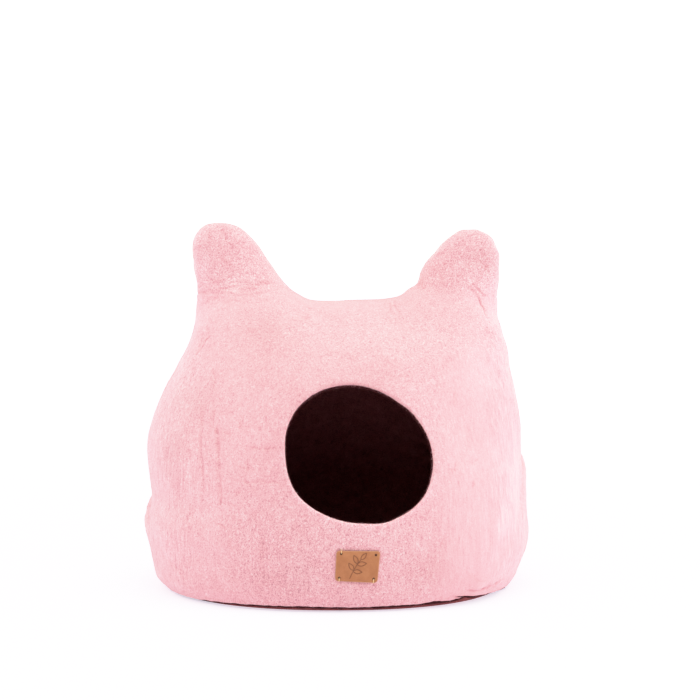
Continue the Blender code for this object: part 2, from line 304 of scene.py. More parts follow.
def outside_rows(turn, rings, base_first, base_last):
    c, s = np.cos(turn)[:, None], np.sin(turn)[:, None]
    end, start = outline(turn)[:, None], door_radius(turn)[:, None]
    q = np.sin(np.linspace(0, np.pi / 2, 60))[None, :]
    r_front, r_back = start + (end - start) * q, end * q[:, ::-1]
    front = wall_y(START_X + r_front * c, np.maximum(START_Z + r_front * s, 0), -1)
    back = wall_y(START_X + r_back * c, np.maximum(START_Z + r_back * s, 0), 1)
    t = (np.arange(1, 40) / 40)[None, :]
    r = np.hstack([r_front, np.repeat(end, 39, 1), r_back])
    y = np.hstack([front, front[:, -1:] * (1 - t) + back[:, :1] * t, back])
    p = np.stack([START_X + r * c, y, np.maximum(START_Z + r * s, 0)], -1)
    on_floor = end[:, 0] >= floor_radius(turn) - 1e-6
    lengths, shares, base = [], [], []
    for row in p:
        step = np.append(0, np.cumsum(np.linalg.norm(np.diff(row, axis=0), axis=1)))
        base.append((step[59] / step[-1], step[99] / step[-1]))
        keep = np.append(True, np.diff(step) > 1e-6)
        length, places = by_turning(row[keep], rings, 0.35)
        lengths.append((row[keep], length))
        shares.append(places / length[-1])
    shares = np.array(shares)
    reach = max(1, len(turn) // 24)
    soft = np.hanning(2 * reach + 3)[1:-1]
    shares = sum(w * np.roll(shares, k, 0) for k, w in zip(range(-reach, reach + 1), soft / soft.sum()))
    rows = np.empty((len(turn), rings, 3))
    index = np.arange(rings)
    for i, (row, length) in enumerate(lengths):
        share = shares[i]
        if on_floor[i]:
            marks = [0, base_first, base_last, rings - 1]
            aim = [0, min(base[i][0], share[base_first]), max(base[i][1], share[base_last]), 1]
            share = share + np.interp(index, marks, np.array(aim) - share[marks])
        for k in range(3):
            rows[i, :, k] = np.interp(share * length[-1], length, row[:, k])
    rows[:, -1] = rows[:, -1].mean(0)
    return rows


# ---------------------------------------------------------------- creases
def seen(px, py):
    """Where the camera's ray through a pixel of the 700 pixel frame meets the felt."""
    px, py = np.asarray(px, float), np.asarray(py, float)
    a, b = (px - 350) / CAM_FOCUS, (350 - py) / CAM_FOCUS
    c, s = math.cos(CAM_DOWN), math.sin(CAM_DOWN)
    ray = np.stack([a, c + b * s, -s + b * c], -1)
    ray /= ray[:, 1:2]

    def at(y):
        return CAM + (y - CAM[1])[..., None] * ray

    steps = np.arange(-240.0, 120.0, 2.0)
    depth = np.array([felt(*np.moveaxis(at(np.full_like(px, y)), -1, 0)) for y in steps])
    hit = depth < 0
    first = np.where(hit.any(0), np.argmax(hit, 0), np.argmin(depth, 0))
    y = steps[first]
    lo = np.where(hit.any(0), y - 2.0, y)
    y = edge(lambda t: felt(*np.moveaxis(at(t), -1, 0)) > 0, lo, y, 16)
    return at(y)


def around(deg, z):
    """The place on the wall in a direction from the middle, 0 to the right and 90 at the back."""
    deg, z = np.asarray(deg, float), np.asarray(z, float)
    c, s = np.cos(np.radians(deg)), np.sin(np.radians(deg))
    r = edge(lambda t: felt(t * c, t * s, z) < 0, np.full_like(z, 20.0), np.full_like(z, 270.0), 24)
    return np.stack([r * c, r * s, z], -1)


# depth and half width in mm, how much higher the right-hand side of the line stands
# than the left (-1 to 1), and the line, in pixels of the frame. Below zero it is a ridge.
FRONT = [
    # under the left ear
    (1.1, 1.4, -.5, (197, 285.5), (200.7, 285), (213.3, 284.3), (221.3, 280.3)),
    (1.0, 1.4, -.3, (200.7, 290.3), (209.3, 290.3), (220, 288.3), (230.7, 287.7), (241.3, 285.7), (256, 285.7), (262.7, 284.3), (273.3, 282.3)),
    (.7, 1.7, 0, (201.3, 295), (214.7, 298.3), (228, 298.3)),
    (.9, 1.5, 0, (238.7, 293.7), (249.3, 294.3), (260, 293.7), (268, 295)),
    (.6, 1.5, 0, (253.3, 300.3), (266.7, 299.7)),
    (.8, 1.5, 0, (258.7, 277), (269.3, 273)),
    (.9, 1.4, 0, (258.7, 279), (268, 280.3)),
    (.7, 1.5, 0, (226.7, 277.7), (237.3, 277)),
    (.8, 1.3, 0, (204, 281), (213, 279.5), (224, 275.5)),
    (.8, 1.3, 0, (210, 286.8), (222, 284.6), (236, 282.6), (250, 282.4)),
    (.7, 1.3, 0, (242, 289.5), (256, 289.4), (272, 287)),
    # left ear
    (1.5, 2.0, 0, (220, 228.3), (226.7, 235), (229.3, 243), (234.7, 247)),
    (1.2, 1.8, 0, (232, 237.7), (237.3, 244.3)),
    (1.1, 1.8, 0, (208, 233.7), (212, 239)),
    (.9, 1.8, 0, (200.7, 247),),
    (-.8, 2.2, 0, (218.7, 247), (225.3, 255)),
    (1.0, 1.7, 0, (222.7, 257.7), (230.7, 265.7)),
    (.7, 1.6, 0, (241.3, 255), (245.3, 256.3)),
    # left flank, high
    (1.3, 1.3, .4, (206.7, 327), (209.3, 331), (210, 336.3), (205.3, 341), (203.3, 346.3), (198.7, 351.7), (195.3, 356.3)),
    (.9, 1.4, 0, (200, 333.7), (209.3, 335)),
    (.8, 1.3, 0, (210, 331), (214.7, 332.3)),
    (.6, 1.5, 0, (203.3, 346.3), (214.7, 348.3)),
    (.6, 1.6, 0, (194, 363), (192.7, 372.3)),
    (.7, 1.5, 0, (210.7, 317.7), (212.7, 324.3)),
    (.7, 2.2, 0, (274.7, 321),),
    (.6, 2.2, 0, (285.3, 323),),
    (.6, 1.8, 0, (247.5, 333), (254, 333)),
    (.7, 1.7, 0, (308.7, 305.7), (306.7, 316.3), (305.3, 324.3)),
    (.4, 1.8, 0, (328, 308.3), (326.7, 321.7)),
    (.6, 1.8, 0, (214.7, 367), (214.7, 388.3)),
    (.5, 1.6, 0, (233.3, 384.3), (233.3, 393.7)),
    (.5, 1.6, 0, (250.7, 381.7), (249.3, 388.3)),
    (.5, 1.6, 0, (200, 373.7), (201.3, 388.3)),
    # right ear and the notch under its inner edge
    (1.8, 1.7, 0, (415.3, 287.7), (422, 282.3)),
    (1.1, 1.6, 0, (420, 288.3), (426, 288)),
    (.8, 1.7, 0, (436.7, 256.3), (444.7, 253.7)),
    (.9, 1.8, 0, (445.3, 264.3),),
    (1.1, 1.5, 0, (448.7, 277), (455.3, 276.6), (463.3, 275)),
    (1.5, 1.5, .5, (466, 285), (471.3, 289.7), (476.7, 295.7), (480.7, 304.3), (484.7, 311), (484.7, 317.7)),
    (1.3, 1.5, 0, (470, 281.7), (475.3, 287), (483.3, 295), (488.7, 293.7)),
    (.9, 1.4, 0, (475.3, 311), (479.3, 315)),
    (1.0, 1.4, 0, (484.7, 318.3), (491.3, 317.7)),
    (.7, 1.5, 0, (490, 281.7), (492.7, 287)),
    (.8, 1.5, 0, (455.3, 283), (459.3, 285)),
    (-.8, 2.2, 0, (435.3, 261.7), (443.3, 271), (447.3, 281.7)),
    (1.0, 2.0, 0, (479, 249), (483, 256)),
    (.9, 2.2, 0, (487, 262), (485, 270)),
    (.8, 1.8, 0, (478, 268), (481, 275)),
    (1.1, 2.6, 0, (487.3, 332.3), (495.3, 333.7)),
    # brow
    (.9, 1.5, -.2, (390, 301.7), (390, 308.3), (392.7, 316.3)),
    (.9, 1.5, .2, (394.7, 300.3), (396, 308.3), (400.7, 317.7)),
    (.7, 3.4, 0, (420.7, 311), (428.7, 321.7)),
    (-.6, 2.4, 0, (404.7, 296.3), (415.3, 301.7)),
    (.5, 1.6, 0, (362, 324.3), (364, 335)),
    (.4, 1.6, 0, (341.3, 336.3), (343.3, 345.7)),
    (.4, 1.6, 0, (346.7, 349.7), (348.7, 361.7)),
    (.5, 1.6, 0, (392.7, 340.3), (398, 339)),
    # right of the entrance
    (.8, 1.4, 0, (402, 376.3), (410, 375.7)),
    (.8, 1.4, 0, (416.7, 374.3), (422, 379)),
    (.7, 1.4, 0, (426, 377), (429.3, 379.7)),
    (.5, 1.5, 0, (430, 385), (443.3, 385)),
    (.5, 1.6, 0, (422, 357.7), (424.7, 364.3)),
    (.6, 1.6, 0, (454, 389.7), (454, 404.3)),
    (.5, 1.6, 0, (491, 364), (491.5, 392), (490.5, 412)),
    (.45, 1.6, 0, (498, 370), (498.5, 400)),
    (.45, 1.6, 0, (503, 378), (504, 410)),
    # left of the entrance
    (1.5, 1.9, .3, (217.5, 424), (218, 431.7), (218.7, 445), (219.6, 465), (220, 485), (220.7, 498.3), (219.3, 511)),
    (.75, 2.4, 0, (204, 405), (203.3, 425), (201.3, 445), (202.7, 465), (204, 485), (201.3, 503.7)),
    (-.6, 2.4, 0, (207.5, 412), (206.7, 440), (207.5, 470), (207, 495)),
    (1.0, 1.7, 0, (216, 407.7), (214, 418.3), (212.7, 430.3)),
    (1.1, 1.5, .4, (217.3, 431.7), (225.3, 433), (232, 433.7)),
    (.8, 1.4, 0, (222.7, 427.7), (225.3, 433)),
    (1.1, 1.5, .3, (243.3, 415.7), (241.3, 425), (241.3, 427.7), (252, 427)),
    (.9, 1.5, 0, (266.7, 414.3), (266, 429)),
    (.7, 1.5, 0, (269.3, 430.3), (274.7, 432.3)),
    (.9, 1.4, 0, (246.7, 443.7), (247.3, 453)),
    (1.1, 1.4, .4, (249.3, 446.3), (256, 448.3), (262.7, 449.7), (273.3, 449), (279.3, 449.7)),
    (1.5, 1.6, 0, (247.3, 462.3), (248.4, 467), (249.3, 471.7)),
    (1.0, 1.4, 0, (238.7, 466.3), (248, 470.3)),
    (1.0, 1.4, .3, (238.7, 478.3), (245.3, 481.7), (251.3, 482), (258.7, 481), (269.3, 482.3), (278.7, 482.3), (284, 483)),
    (.7, 1.5, 0, (233.3, 491.7), (245.3, 493)),
    (.7, 1.5, 0, (222.7, 503), (233.3, 505), (241.3, 507)),
    (.9, 1.6, 0, (234.7, 506.3), (234, 525)),
    (.8, 1.5, 0, (242, 517), (241.3, 527.7)),
    (.7, 1.5, 0, (252.7, 510.3), (252.7, 521)),
    (.9, 1.6, 0, (214.7, 519.7), (220, 525), (233.3, 526.3)),
    (.8, 1.6, 0, (229.3, 538.3), (233.3, 547.7)),
    (.9, 1.8, .2, (262.7, 535.7), (264, 551.7), (261.3, 562.3), (264, 571.7), (263.3, 589)),
    (.8, 1.6, 0, (292, 525), (295.3, 533)),
    (.7, 1.8, 0, (305.3, 515.7),),
    (.7, 1.8, 0, (293.3, 502.3),),
    (.6, 1.6, 0, (318.7, 529), (320, 537)),
    (.9, 2.6, 0, (169.3, 558.3), (174.7, 565), (184, 571.7)),
    (.7, 1.6, 0, (225.3, 570.3), (228, 579.7)),
    (.7, 1.6, 0, (238.7, 581), (245.3, 570.3)),
    (.6, 1.7, 0, (148, 511.7), (150.7, 521)),
    (-.6, 2.6, 0, (182, 445), (182.7, 466.3)),
    # right of the entrance, low
    (.8, 1.5, 0, (455.3, 462.3), (455.3, 469)),
    (.8, 1.4, 0, (447.3, 469), (458, 469.7)),
    (.7, 1.5, 0, (466, 463.7), (480.7, 458.3)),
    (.8, 1.5, 0, (458, 478.3), (458, 485)),
    (.9, 2.6, 0, (472.7, 479.7), (474, 487.7)),
    (-.9, 2.6, 0, (484, 491.7), (483.3, 511.7), (482, 531.7), (479.3, 551.7), (478, 578.3)),
    (.4, 2.4, 0, (489.5, 496), (489, 520), (488, 545), (486, 570)),
    (.7, 1.6, 0, (446, 533), (443.3, 539.7), (439.3, 549)),
    (.6, 1.6, 0, (415.3, 570.3), (416.7, 579.7)),
    (.6, 1.8, 0, (432.7, 575.7),),
    (.4, 1.8, 0, (428.7, 551.7), (432.7, 571.7)),
    (.5, 1.6, 0, (454, 498.3), (452.7, 506.3)),
    (1.9, 1.9, -.6, (503, 578.5), (493, 586), (482, 589.6), (466, 591.4)),
    (.7, 2.0, 0, (520.5, 508), (521.5, 532)),
]

# the same for the sides and the back, in degrees round the body and mm of height
REAR = [
    # left side
    (1.2, 1.5, .3, (199, 338), (190, 341), (180, 339), (170, 342)),
    (.9, 1.5, 0, (195, 331), (184, 333), (176, 330)),
    (.8, 1.6, 0, (206, 300), (203, 286), (205, 272)),
    (.7, 1.8, 0, (190, 262), (189, 240), (191, 221)),
    (1.4, 1.9, .3, (180, 205), (178, 176), (180, 148), (177, 124)),
    (.8, 1.6, 0, (196, 176), (186, 172)),
    (.9, 1.6, 0, (171, 190), (163, 187), (157, 189)),
    (.8, 1.8, 0, (191, 96), (183, 90), (172, 93)),
    (1.0, 2.0, .4, (168, 46), (158, 41), (148, 44), (138, 39)),
    (.7, 1.7, 0, (186, 60), (185, 36)),
    (-.6, 2.4, 0, (172, 225), (171, 196)),
    # back, left of the middle
    (1.3, 1.5, .3, (158, 340), (150, 343), (141, 339), (133, 344)),
    (.9, 1.5, 0, (152, 331), (143, 333)),
    (.7, 1.7, 0, (146, 300), (144, 280), (146, 262)),
    (1.1, 1.8, 0, (133, 236), (131, 208), (134, 182)),
    (.9, 1.5, .3, (131, 209), (122, 206), (115, 208)),
    (.8, 1.5, 0, (150, 150), (141, 147), (134, 149)),
    (1.0, 1.7, 0, (128, 128), (127, 102), (129, 82)),
    (.7, 1.8, 0, (117, 96), (111, 91)),
    (.8, 1.7, 0, (140, 70), (137, 48)),
    (-.5, 2.6, 0, (121, 180), (120, 150)),
    # middle of the back
    (.8, 1.6, 0, (102, 300), (100, 282)),
    (.7, 1.6, 0, (92, 306), (91, 290)),
    (.6, 1.8, 0, (97, 254), (86, 252), (78, 255)),
    (1.0, 1.6, 0, (95, 214), (94, 190), (96, 168)),
    (.8, 1.5, .2, (94, 190), (85, 187), (78, 190)),
    (.7, 1.7, 0, (104, 142), (97, 138), (88, 141)),
    (.9, 1.8, 0, (83, 118), (84, 92), (81, 70)),
    (.7, 1.8, 0, (99, 64), (91, 60)),
    (.8, 1.7, 0, (107, 50), (106, 28)),
    (.6, 2.4, 0, (88, 230),),
    (.6, 2.2, 0, (110, 246),),
    # back, right of the middle
    (1.4, 1.5, -.3, (50, 340), (42, 336), (34, 339), (27, 334)),
    (1.0, 1.5, 0, (44, 329), (36, 326)),
    (.8, 1.7, 0, (38, 300), (40, 282), (37, 262)),
    (1.2, 1.9, 0, (52, 240), (54, 212), (51, 186)),
    (.9, 1.5, 0, (54, 212), (62, 209), (69, 211)),
    (.8, 1.6, 0, (68, 168), (60, 165)),
    (1.0, 1.8, 0, (63, 130), (62, 104), (65, 84)),
    (.8, 1.6, 0, (45, 88), (37, 85), (30, 88)),
    (1.0, 2.0, -.4, (52, 40), (42, 44), (30, 40)),
    (-.6, 2.6, 0, (47, 160), (46, 132)),
    # right side
    (1.1, 1.5, 0, (14, 332), (4, 335), (-6, 331)),
    (.8, 1.6, 0, (8, 312), (9, 294)),
    (.7, 1.8, 0, (-4, 262), (-3, 240)),
    (1.2, 2.0, 0, (8, 214), (10, 190), (7, 168)),
    (.8, 1.6, 0, (20, 150), (12, 147)),
    (1.1, 2.0, .2, (-2, 120), (0, 96), (-2, 70)),
    (.8, 1.8, 0, (14, 70), (16, 46)),
    (.7, 1.6, 0, (-12, 150), (-5, 147)),
    (-.6, 2.6, 0, (-8, 196), (-7, 168)),
]

# the ears' own dimples, on their backs and edges: mm from the left, depth side, height
EAR_BACK = [
    (1.2, 2.0, 0, (-150, 1, 398), (-142, 1, 388)),
    (1.0, 1.8, 0, (-128, 1, 404), (-121, 1, 394)),
    (.9, 1.7, 0, (-146, 1, 372), (-134, 1, 369), (-126, 1, 371)),
    (.8, 1.8, 0, (-104, 1, 372), (-97, 1, 366)),
    (1.2, 1.6, .3, (-156, 1, 350), (-142, 1, 353), (-126, 1, 350), (-108, 1, 354)),
    (.9, 1.6, 0, (-122, 1, 340), (-104, 1, 342)),
    (1.1, 2.0, 0, (138, 1, 396), (146, 1, 388)),
    (1.0, 1.9, 0, (162, 1, 398), (170, 1, 391)),
    (.9, 1.7, 0, (130, 1, 372), (142, 1, 369)),
    (.9, 1.8, 0, (160, 1, 374), (170, 1, 370), (177, 1, 373)),
    (1.3, 1.6, -.3, (116, 1, 350), (132, 1, 353), (148, 1, 350), (166, 1, 354)),
    (.9, 1.6, 0, (134, 1, 341), (150, 1, 343)),
    (.8, 1.7, 0, (-20, 1, 312), (-18, 1, 298)),
    (.8, 1.7, 0, (16, 1, 310), (20, 1, 296)),
    (.7, 1.7, 0, (52, 1, 314), (50, 1, 302)),
]


def rounded(points):
    """A smooth line through a few points."""
    if len(points) < 3:
        return points
    p = np.vstack([2 * points[0] - points[1], points, 2 * points[-1] - points[-2]])
    out = []
    for a, b, c, d in zip(p, p[1:], p[2:], p[3:]):
        for t in (0, 1 / 3, 2 / 3):
            out.append(0.5 * (2 * b + (c - a) * t + (2 * a - 5 * b + 4 * c - d) * t * t
                              + (3 * b - a - 3 * c + d) * t ** 3))
    out.append(points[-1])
    return np.array(out)


def make_creases():
    out = []
    flat = np.array([p for row in FRONT for p in row[3:]])
    wall = seen(flat[:, 0], flat[:, 1])
    k = 0
    for depth, half, lean, *line in FRONT:
        out.append((depth, half, lean, rounded(wall[k:k + len(line)])))
        k += len(line)
    for depth, half, lean, *line in REAR:
        out.append((depth, half, lean, rounded(around(*np.array(line, float).T))))
    for depth, half, lean, *line in EAR_BACK:
        x, _, z = np.array(line, float).T
        out.append((depth, half, lean, rounded(np.stack([x, wall_y(x, z, 1), z], -1))))
    return out


def nearest(points, line):
    """Distance to a line, how far along it that is in mm, and the nearest place on it."""
    if len(line) == 1:
        d = np.linalg.norm(points - line[0], axis=1)
        return d, np.zeros(len(points)), np.repeat(line[:1], len(points), 0), np.zeros_like(points)
    best = np.full(len(points), 1e9)
    along = np.zeros(len(points))
    where, way = np.zeros_like(points), np.zeros_like(points)
    done = 0.0
    for a, b in zip(line, line[1:]):
        v = b - a
        length = np.linalg.norm(v)
        t = np.clip((points - a) @ v / (length * length), 0, 1)
        q = a + t[:, None] * v
        d = np.linalg.norm(points - q, axis=1)
        closer = d < best
        best[closer], along[closer] = d[closer], (done + t * length)[closer]
        where[closer], way[closer] = q[closer], v / length
        done += length
    return best, along, where, way


def near_crease(points, creases, reach, extra):
    """True near a crease: within reach half widths and extra mm."""
    out = np.zeros(len(points), bool)
    for depth, half, lean, line in creases:
        far = reach * half + extra
        lo, hi = line.min(0) - far, line.max(0) + far
        k = np.flatnonzero(((points > lo) & (points < hi)).all(1) & ~out)
        if len(k):
            out[k[nearest(points[k], line)[0] < far]] = True
    return out


def waves(points, size, count, seed):
    """Smooth seeded noise of about that size in mm, mostly between -1 and 1."""
    rng = np.random.default_rng(seed)
    way = rng.normal(size=(count, 3))
    way /= np.linalg.norm(way, axis=1)[:, None]
    rate = 2 * np.pi / (size * rng.uniform(0.75, 1.5, count))
    phase = rng.uniform(0, 2 * np.pi, count)
    return np.cos(points @ (way * rate[:, None]).T + phase).sum(1) / math.sqrt(count)


def relief(points, normals, creases):
    """How far the felt stands off its plain form, and how much painted shade lies in each crease."""
    x, y, z = points.T
    ears = smooth((z - 335) / 30)
    low = smooth((150 - z) / 60)
    off = (0.75 * waves(points, 95, 24, 3) + 0.28 * waves(points, 34, 28, 5) * (1 + 0.8 * ears + 0.3 * low)
           + 0.12 * waves(points, 13, 30, 7) * (1 + 1.3 * ears + 0.5 * low)
           + 0.05 * waves(points, 6.5, 30, 9) * (1 + 1.0 * ears))
    side = smooth((np.abs(x - 5) - 140) / 40)
    off = off + 0.22 * side * waves(points * (1, 1, 0.12), 9, 24, 11)
    for place, reach, height in FORM_PLACES:
        off = off + height * np.exp(-(np.linalg.norm(points - place, axis=1) / reach) ** 2)
    for place, reach, height in EDGE_PLACES:
        off = off + height * np.exp(-(((points - place) / (reach, 42.0, reach)) ** 2).sum(1))
    shake = np.stack([waves(points, 11, 14, 61 + k) for k in range(3)], -1) * 0.6
    broken = np.clip(0.86 + 0.26 * waves(points, 8, 26, 67), 0.3, 1.3)
    painted_shade = np.zeros(len(points))
    for number, (depth, half, lean, line) in enumerate(creases):
        far = 5.5 * half
        lo, hi = line.min(0) - far, line.max(0) + far
        k = np.flatnonzero(((points > lo) & (points < hi)).all(1))
        if not len(k):
            continue
        d, along, where, way = nearest(points[k] + shake[k], line)
        total = np.linalg.norm(np.diff(line, axis=0), axis=1).sum() if len(line) > 1 else 0.0
        if total:
            ends = smooth(np.minimum(along, total - along) / min(0.3 * total, 9.0) * 0.8 + 0.2)
            right = np.cross(way, normals[k])
            sign = np.sign(np.einsum("ij,ij->i", points[k] - where, right))
        else:
            ends, sign = 1.0, 0.0
        uneven = 0.85 + 0.3 * np.cos(along * 0.31 + number * 1.7) * np.cos(along * 0.17 + number)
        size = CREASE_DEPTH * depth * ends * uneven * broken[k]
        shoulder = 0.30 * (1 + lean * sign)
        off[k] += size * (shoulder * np.exp(-((d - 2.3 * half) / (1.25 * half)) ** 2)
                          - np.exp(-(d / half) ** 2))
        # painted shade along the crease, darkest on its middle line
        painted_shade[k] = np.maximum(painted_shade[k], np.clip(size, 0, 2) * np.exp(-(d / (0.85 * half)) ** 2))
    return off, painted_shade


# broad soft swellings and hollows that the tables leave out: pixels of the frame,
# reach and height in mm
FORMS = [
    (431, 262, 17, 1.7), (416.5, 286, 8, -2.6), (466, 233, 12, 1.0),
    (477, 584, 9, 1.6), (235, 301, 20, 0.8), (222, 262, 14, 0.6), (448, 296, 16, 0.7),
    (206, 318, 12, -0.6), (190, 470, 16, -0.8), (212, 470, 9, 0.7), (232, 540, 24, 0.8),
    (488, 540, 12, -0.7), (478, 520, 12, 0.7), (395, 345, 30, 0.7), (300, 345, 34, 0.6),
]
CREASE_DEPTH = 0.92


# the same along the outline, where they run over the edge from front to back
EDGE_FORMS = [
    # pixels of the frame, depth, reach and height in mm
    (423, 273, 8, 7, 1.5), (415.5, 283, 8, 7.5, -3.3), (429, 262, 8, 9, 0.9), (441, 246, 8, 8, 1.6),
    (466, 229.5, 8, 9, 0.8), (490, 241, 8, 9, 1.8), (497.5, 254, 8, 12, 2.5), (497.8, 279, 8, 13, 1.4), (497.5, 302, 8, 12, 2.2),
    (500, 326, 8, 13, 1.9), (506, 348, 4, 14, 0.9), (513, 384, 0, 18, 0.7), (528.5, 529, 0, 11, 1.7),
    (390, 298, 8, 9, 1.5), (300, 295, 5, 11, 1.4), (284, 282, 5, 8, 0.9), (248, 235.5, 2, 8, 0.9), (192.5, 252, 2, 10, 0.7),
    (195.5, 311, 2, 9, 1.0),
    (238, 228, 2, 10, 1.7), (193.5, 272, 2, 9, 1.7), (196, 289, 2, 7, -1.0), (166, 384, 0, 14, 1.2),
]


# where the wool is painted darker or lighter: mostly painted shade and painted highlight (the bright band along the
# right flank's edge, the lit left edge, shade over the lower front and the left side), partly darker wool on the ears:
# pixels of the frame, reach in mm, change
PAINTED_LIGHT_AND_DYE = [
    (488, 262, 22, -.17), (465, 252, 16, -.04), (205, 247, 14, -.06), (430, 572, 28, -.12), (360, 600, 30, -.08),
    (300, 575, 26, -.05), (198, 402, 24, -.09), (174, 450, 26, -.10), (268, 332, 26, -.08), (495, 402, 18, -.04),
    (505, 522, 22, .07), (510, 478, 14, .08), (245, 440, 20, .03), (480, 560, 16, -.03), (372, 380, 30, -.02),
    (517, 452, 13, .12), (517, 468, 13, .12), (517, 486, 14, .15), (516, 504, 13, .12), (150, 452, 13, .05),
    (474, 436, 30, -.02), (225, 250, 30, -.01), (465, 246, 22, .00), (360, 600, 34, .03), (178, 400, 20, -.05), (180, 492, 24, -.04), (168, 550, 26, .05),
    (507, 495, 13, .05), (522, 472, 9, .12), (522, 456, 9, .08), (480, 560, 20, .04), (505, 525, 18, .04), (440, 575, 26, .03),
]
# where fine wrinkles lie across: pixels of the frame, reach in mm, strength
RIPPLES = [(215, 286, 16, .8), (236, 290, 18, .9), (258, 284, 15, .8), (206, 300, 12, .5), (478, 312, 18, .35), (282, 470, 24, .25),
           (230, 395, 30, .2)]


def form_places():
    rows = np.array(FORMS, float)
    return [(at, r, h) for at, r, h in zip(seen(rows[:, 0], rows[:, 1]), rows[:, 2], rows[:, 3])]


def edge_places():
    out = []
    c, s = math.cos(CAM_DOWN), math.sin(CAM_DOWN)
    for px, py, y, reach, height in EDGE_FORMS:
        a, b = (px - 350) / CAM_FOCUS, (350 - py) / CAM_FOCUS
        ray = np.array((a, c + b * s, -s + b * c))
        out.append((CAM + (y - CAM[1]) / ray[1] * ray, reach, height))
    return out


FORM_PLACES = form_places()
EDGE_PLACES = edge_places()

# ---------------------------------------------------------------- the hem
HEM = np.array([
    # how high the brown layer shows along the front, mm
    (-215, 1.4), (-180, 2.2), (-140, 4.0), (-114, 5.2), (-93, 5.8), (-60, 6.2), (-28, 6.4), (0, 6.0), (47, 5.6), (91, 6.8),
    (112, 7.2), (128, 6.8), (136, 8.6), (141, 10.6), (147, 8.0), (158, 7.0), (172, 5.4), (186, 3.0), (215, 1.8),
], float)


def hem(points):
    x, y = points[:, 0], points[:, 1]
    front = np.interp(x, HEM[:, 0], HEM[:, 1])
    back = 3.2 + 0.9 * waves(points * (1, 1, 0), 60, 10, 21)
    share = smooth((y + 60) / 90)
    return front * (1 - share) + np.maximum(back, 1.2) * share + 0.35 * waves(points * (1, 1, 0), 9, 20, 23)


# ---------------------------------------------------------------- the felt body
def felt_mesh():
    turn = spokes(SPOKES)
    outer = outside_rows(turn, RINGS, BASE_FIRST, BASE_LAST)
    last = 8                          # the rings next to the opening leave room for its lip
    for row in outer:
        step = np.append(0, np.cumsum(np.linalg.norm(np.diff(row[:last + 1], axis=0), axis=1)))
        want = LIP + 1.3 + np.arange(last) / (last - 1) * (step[-1] - LIP - 1.3)
        row[1:last + 1] = np.stack([np.interp(want, step, row[:last + 1, k]) for k in range(3)], -1)
    coarse = np.unique(np.round(np.linspace(0, RINGS - 1, INNER_RINGS)).astype(int))
    pick = outer[::2][:, coarse]
    n = outward(pick)
    n[pick[..., 2] < 1e-6] = (0, 0, -1)
    inner = pick - n * FELT

    # the rim's own cross-section: outer rounding, cut face, inner rounding
    corner = outer[:, 0]
    nc = outward(corner)
    back = corner - nc * FELT
    first = outer[:, 1] - corner
    reach = np.linalg.norm(first, axis=1)[:, None]
    first = first / reach
    wavy = (0.26 * waves(corner, 26, 16, 31) + 0.16 * waves(corner, 6, 20, 33))[:, None]
    inner_first = np.repeat(inner[:, 1] - inner[:, 0], 2, axis=0)
    inner_first = (inner_first + np.roll(inner_first, 1, 0)) / 2
    inner_first /= np.linalg.norm(inner_first, axis=1)[:, None]
    lip = 0.35 * (1 + waves(corner, 24, 12, 35))[:, None]
    rim = []
    p0, p1 = corner + first * LIP, corner - nc * 3.0
    for t in (0.0, 0.14, 0.28, 0.42, 0.56, 0.70, 0.85, 1.0):
        q = (1 - t) ** 2 * p0 + 2 * t * (1 - t) * corner + t * t * p1
        rim.append(q + nc * lip * 4 * t * (1 - t) - first * wavy * t)
    q1, q0 = back + nc * 1.3, back + inner_first * 1.5
    for t in (0.25, 0.5, 0.75):
        rim.append(p1 * (1 - t) + q1 * t - first * (wavy - 0.35 * math.sin(math.pi * t)))
    for t in (0.0, 0.33, 0.67, 1.0):
        q = (1 - t) ** 2 * q1 + 2 * t * (1 - t) * back + t * t * q0
        rim.append(q - first * wavy * (1 - t))
    skin_rim = [1.0, 0.99, 0.97, 0.94, 0.91, 0.88, 0.84, 0.8, 0.6, 0.45, 0.3, 0.2, 0.12, 0.06, 0.0]
    brown_rim = [0, 0, 0, 0, 0, 0.1, 0.5, 0.95, 1, 1, 1, 1, 1, 1, 1]

    verts, skin, brown, faces = [], [], [], []

    def put(points, s, b):
        start = len(verts)
        verts.extend(points)
        skin.extend([s] * len(points))
        brown.extend([b] * len(points))
        return np.arange(start, start + len(points))

    rings = [put(outer[:, k], 1.0, 0.0) for k in range(1, RINGS - 1)]
    pole = put(outer[:1, -1], 1.0, 0.0)[0]
    edge_rings = [put(q, s, b) for q, s, b in zip(rim, skin_rim, brown_rim)]
    outs = [edge_rings[0]] + rings
    wrap = np.roll(np.arange(SPOKES), -1)
    for a, b in zip(outs, outs[1:]):
        faces.extend(zip(a, b, b[wrap], a[wrap]))
    faces.extend((a, pole, b) for a, b in zip(outs[-1], outs[-1][wrap]))
    for a, b in zip(edge_rings, edge_rings[1:]):
        faces.extend(zip(b, a, a[wrap], b[wrap]))
    ins = [put(inner[:, k], 0.0, 1.0) for k in range(1, len(coarse) - 1)]
    pole_in = put(inner[:1, -1], 0.0, 1.0)[0]
    half = SPOKES // 2
    last = edge_rings[-1]
    for i in range(half):              # from every spoke to every second one
        a, b, c = last[2 * i], last[2 * i + 1], last[(2 * i + 2) % SPOKES]
        d, e = ins[0][i], ins[0][(i + 1) % half]
        faces.extend([(d, a, b), (d, b, e), (b, c, e)])
    wrap = np.roll(np.arange(half), -1)
    for a, b in zip(ins, ins[1:]):
        faces.extend(zip(b, a, a[wrap], b[wrap]))
    faces.extend((pole_in, a, b) for a, b in zip(ins[-1], ins[-1][wrap]))
    return np.array(verts), np.array(skin), np.array(brown), faces


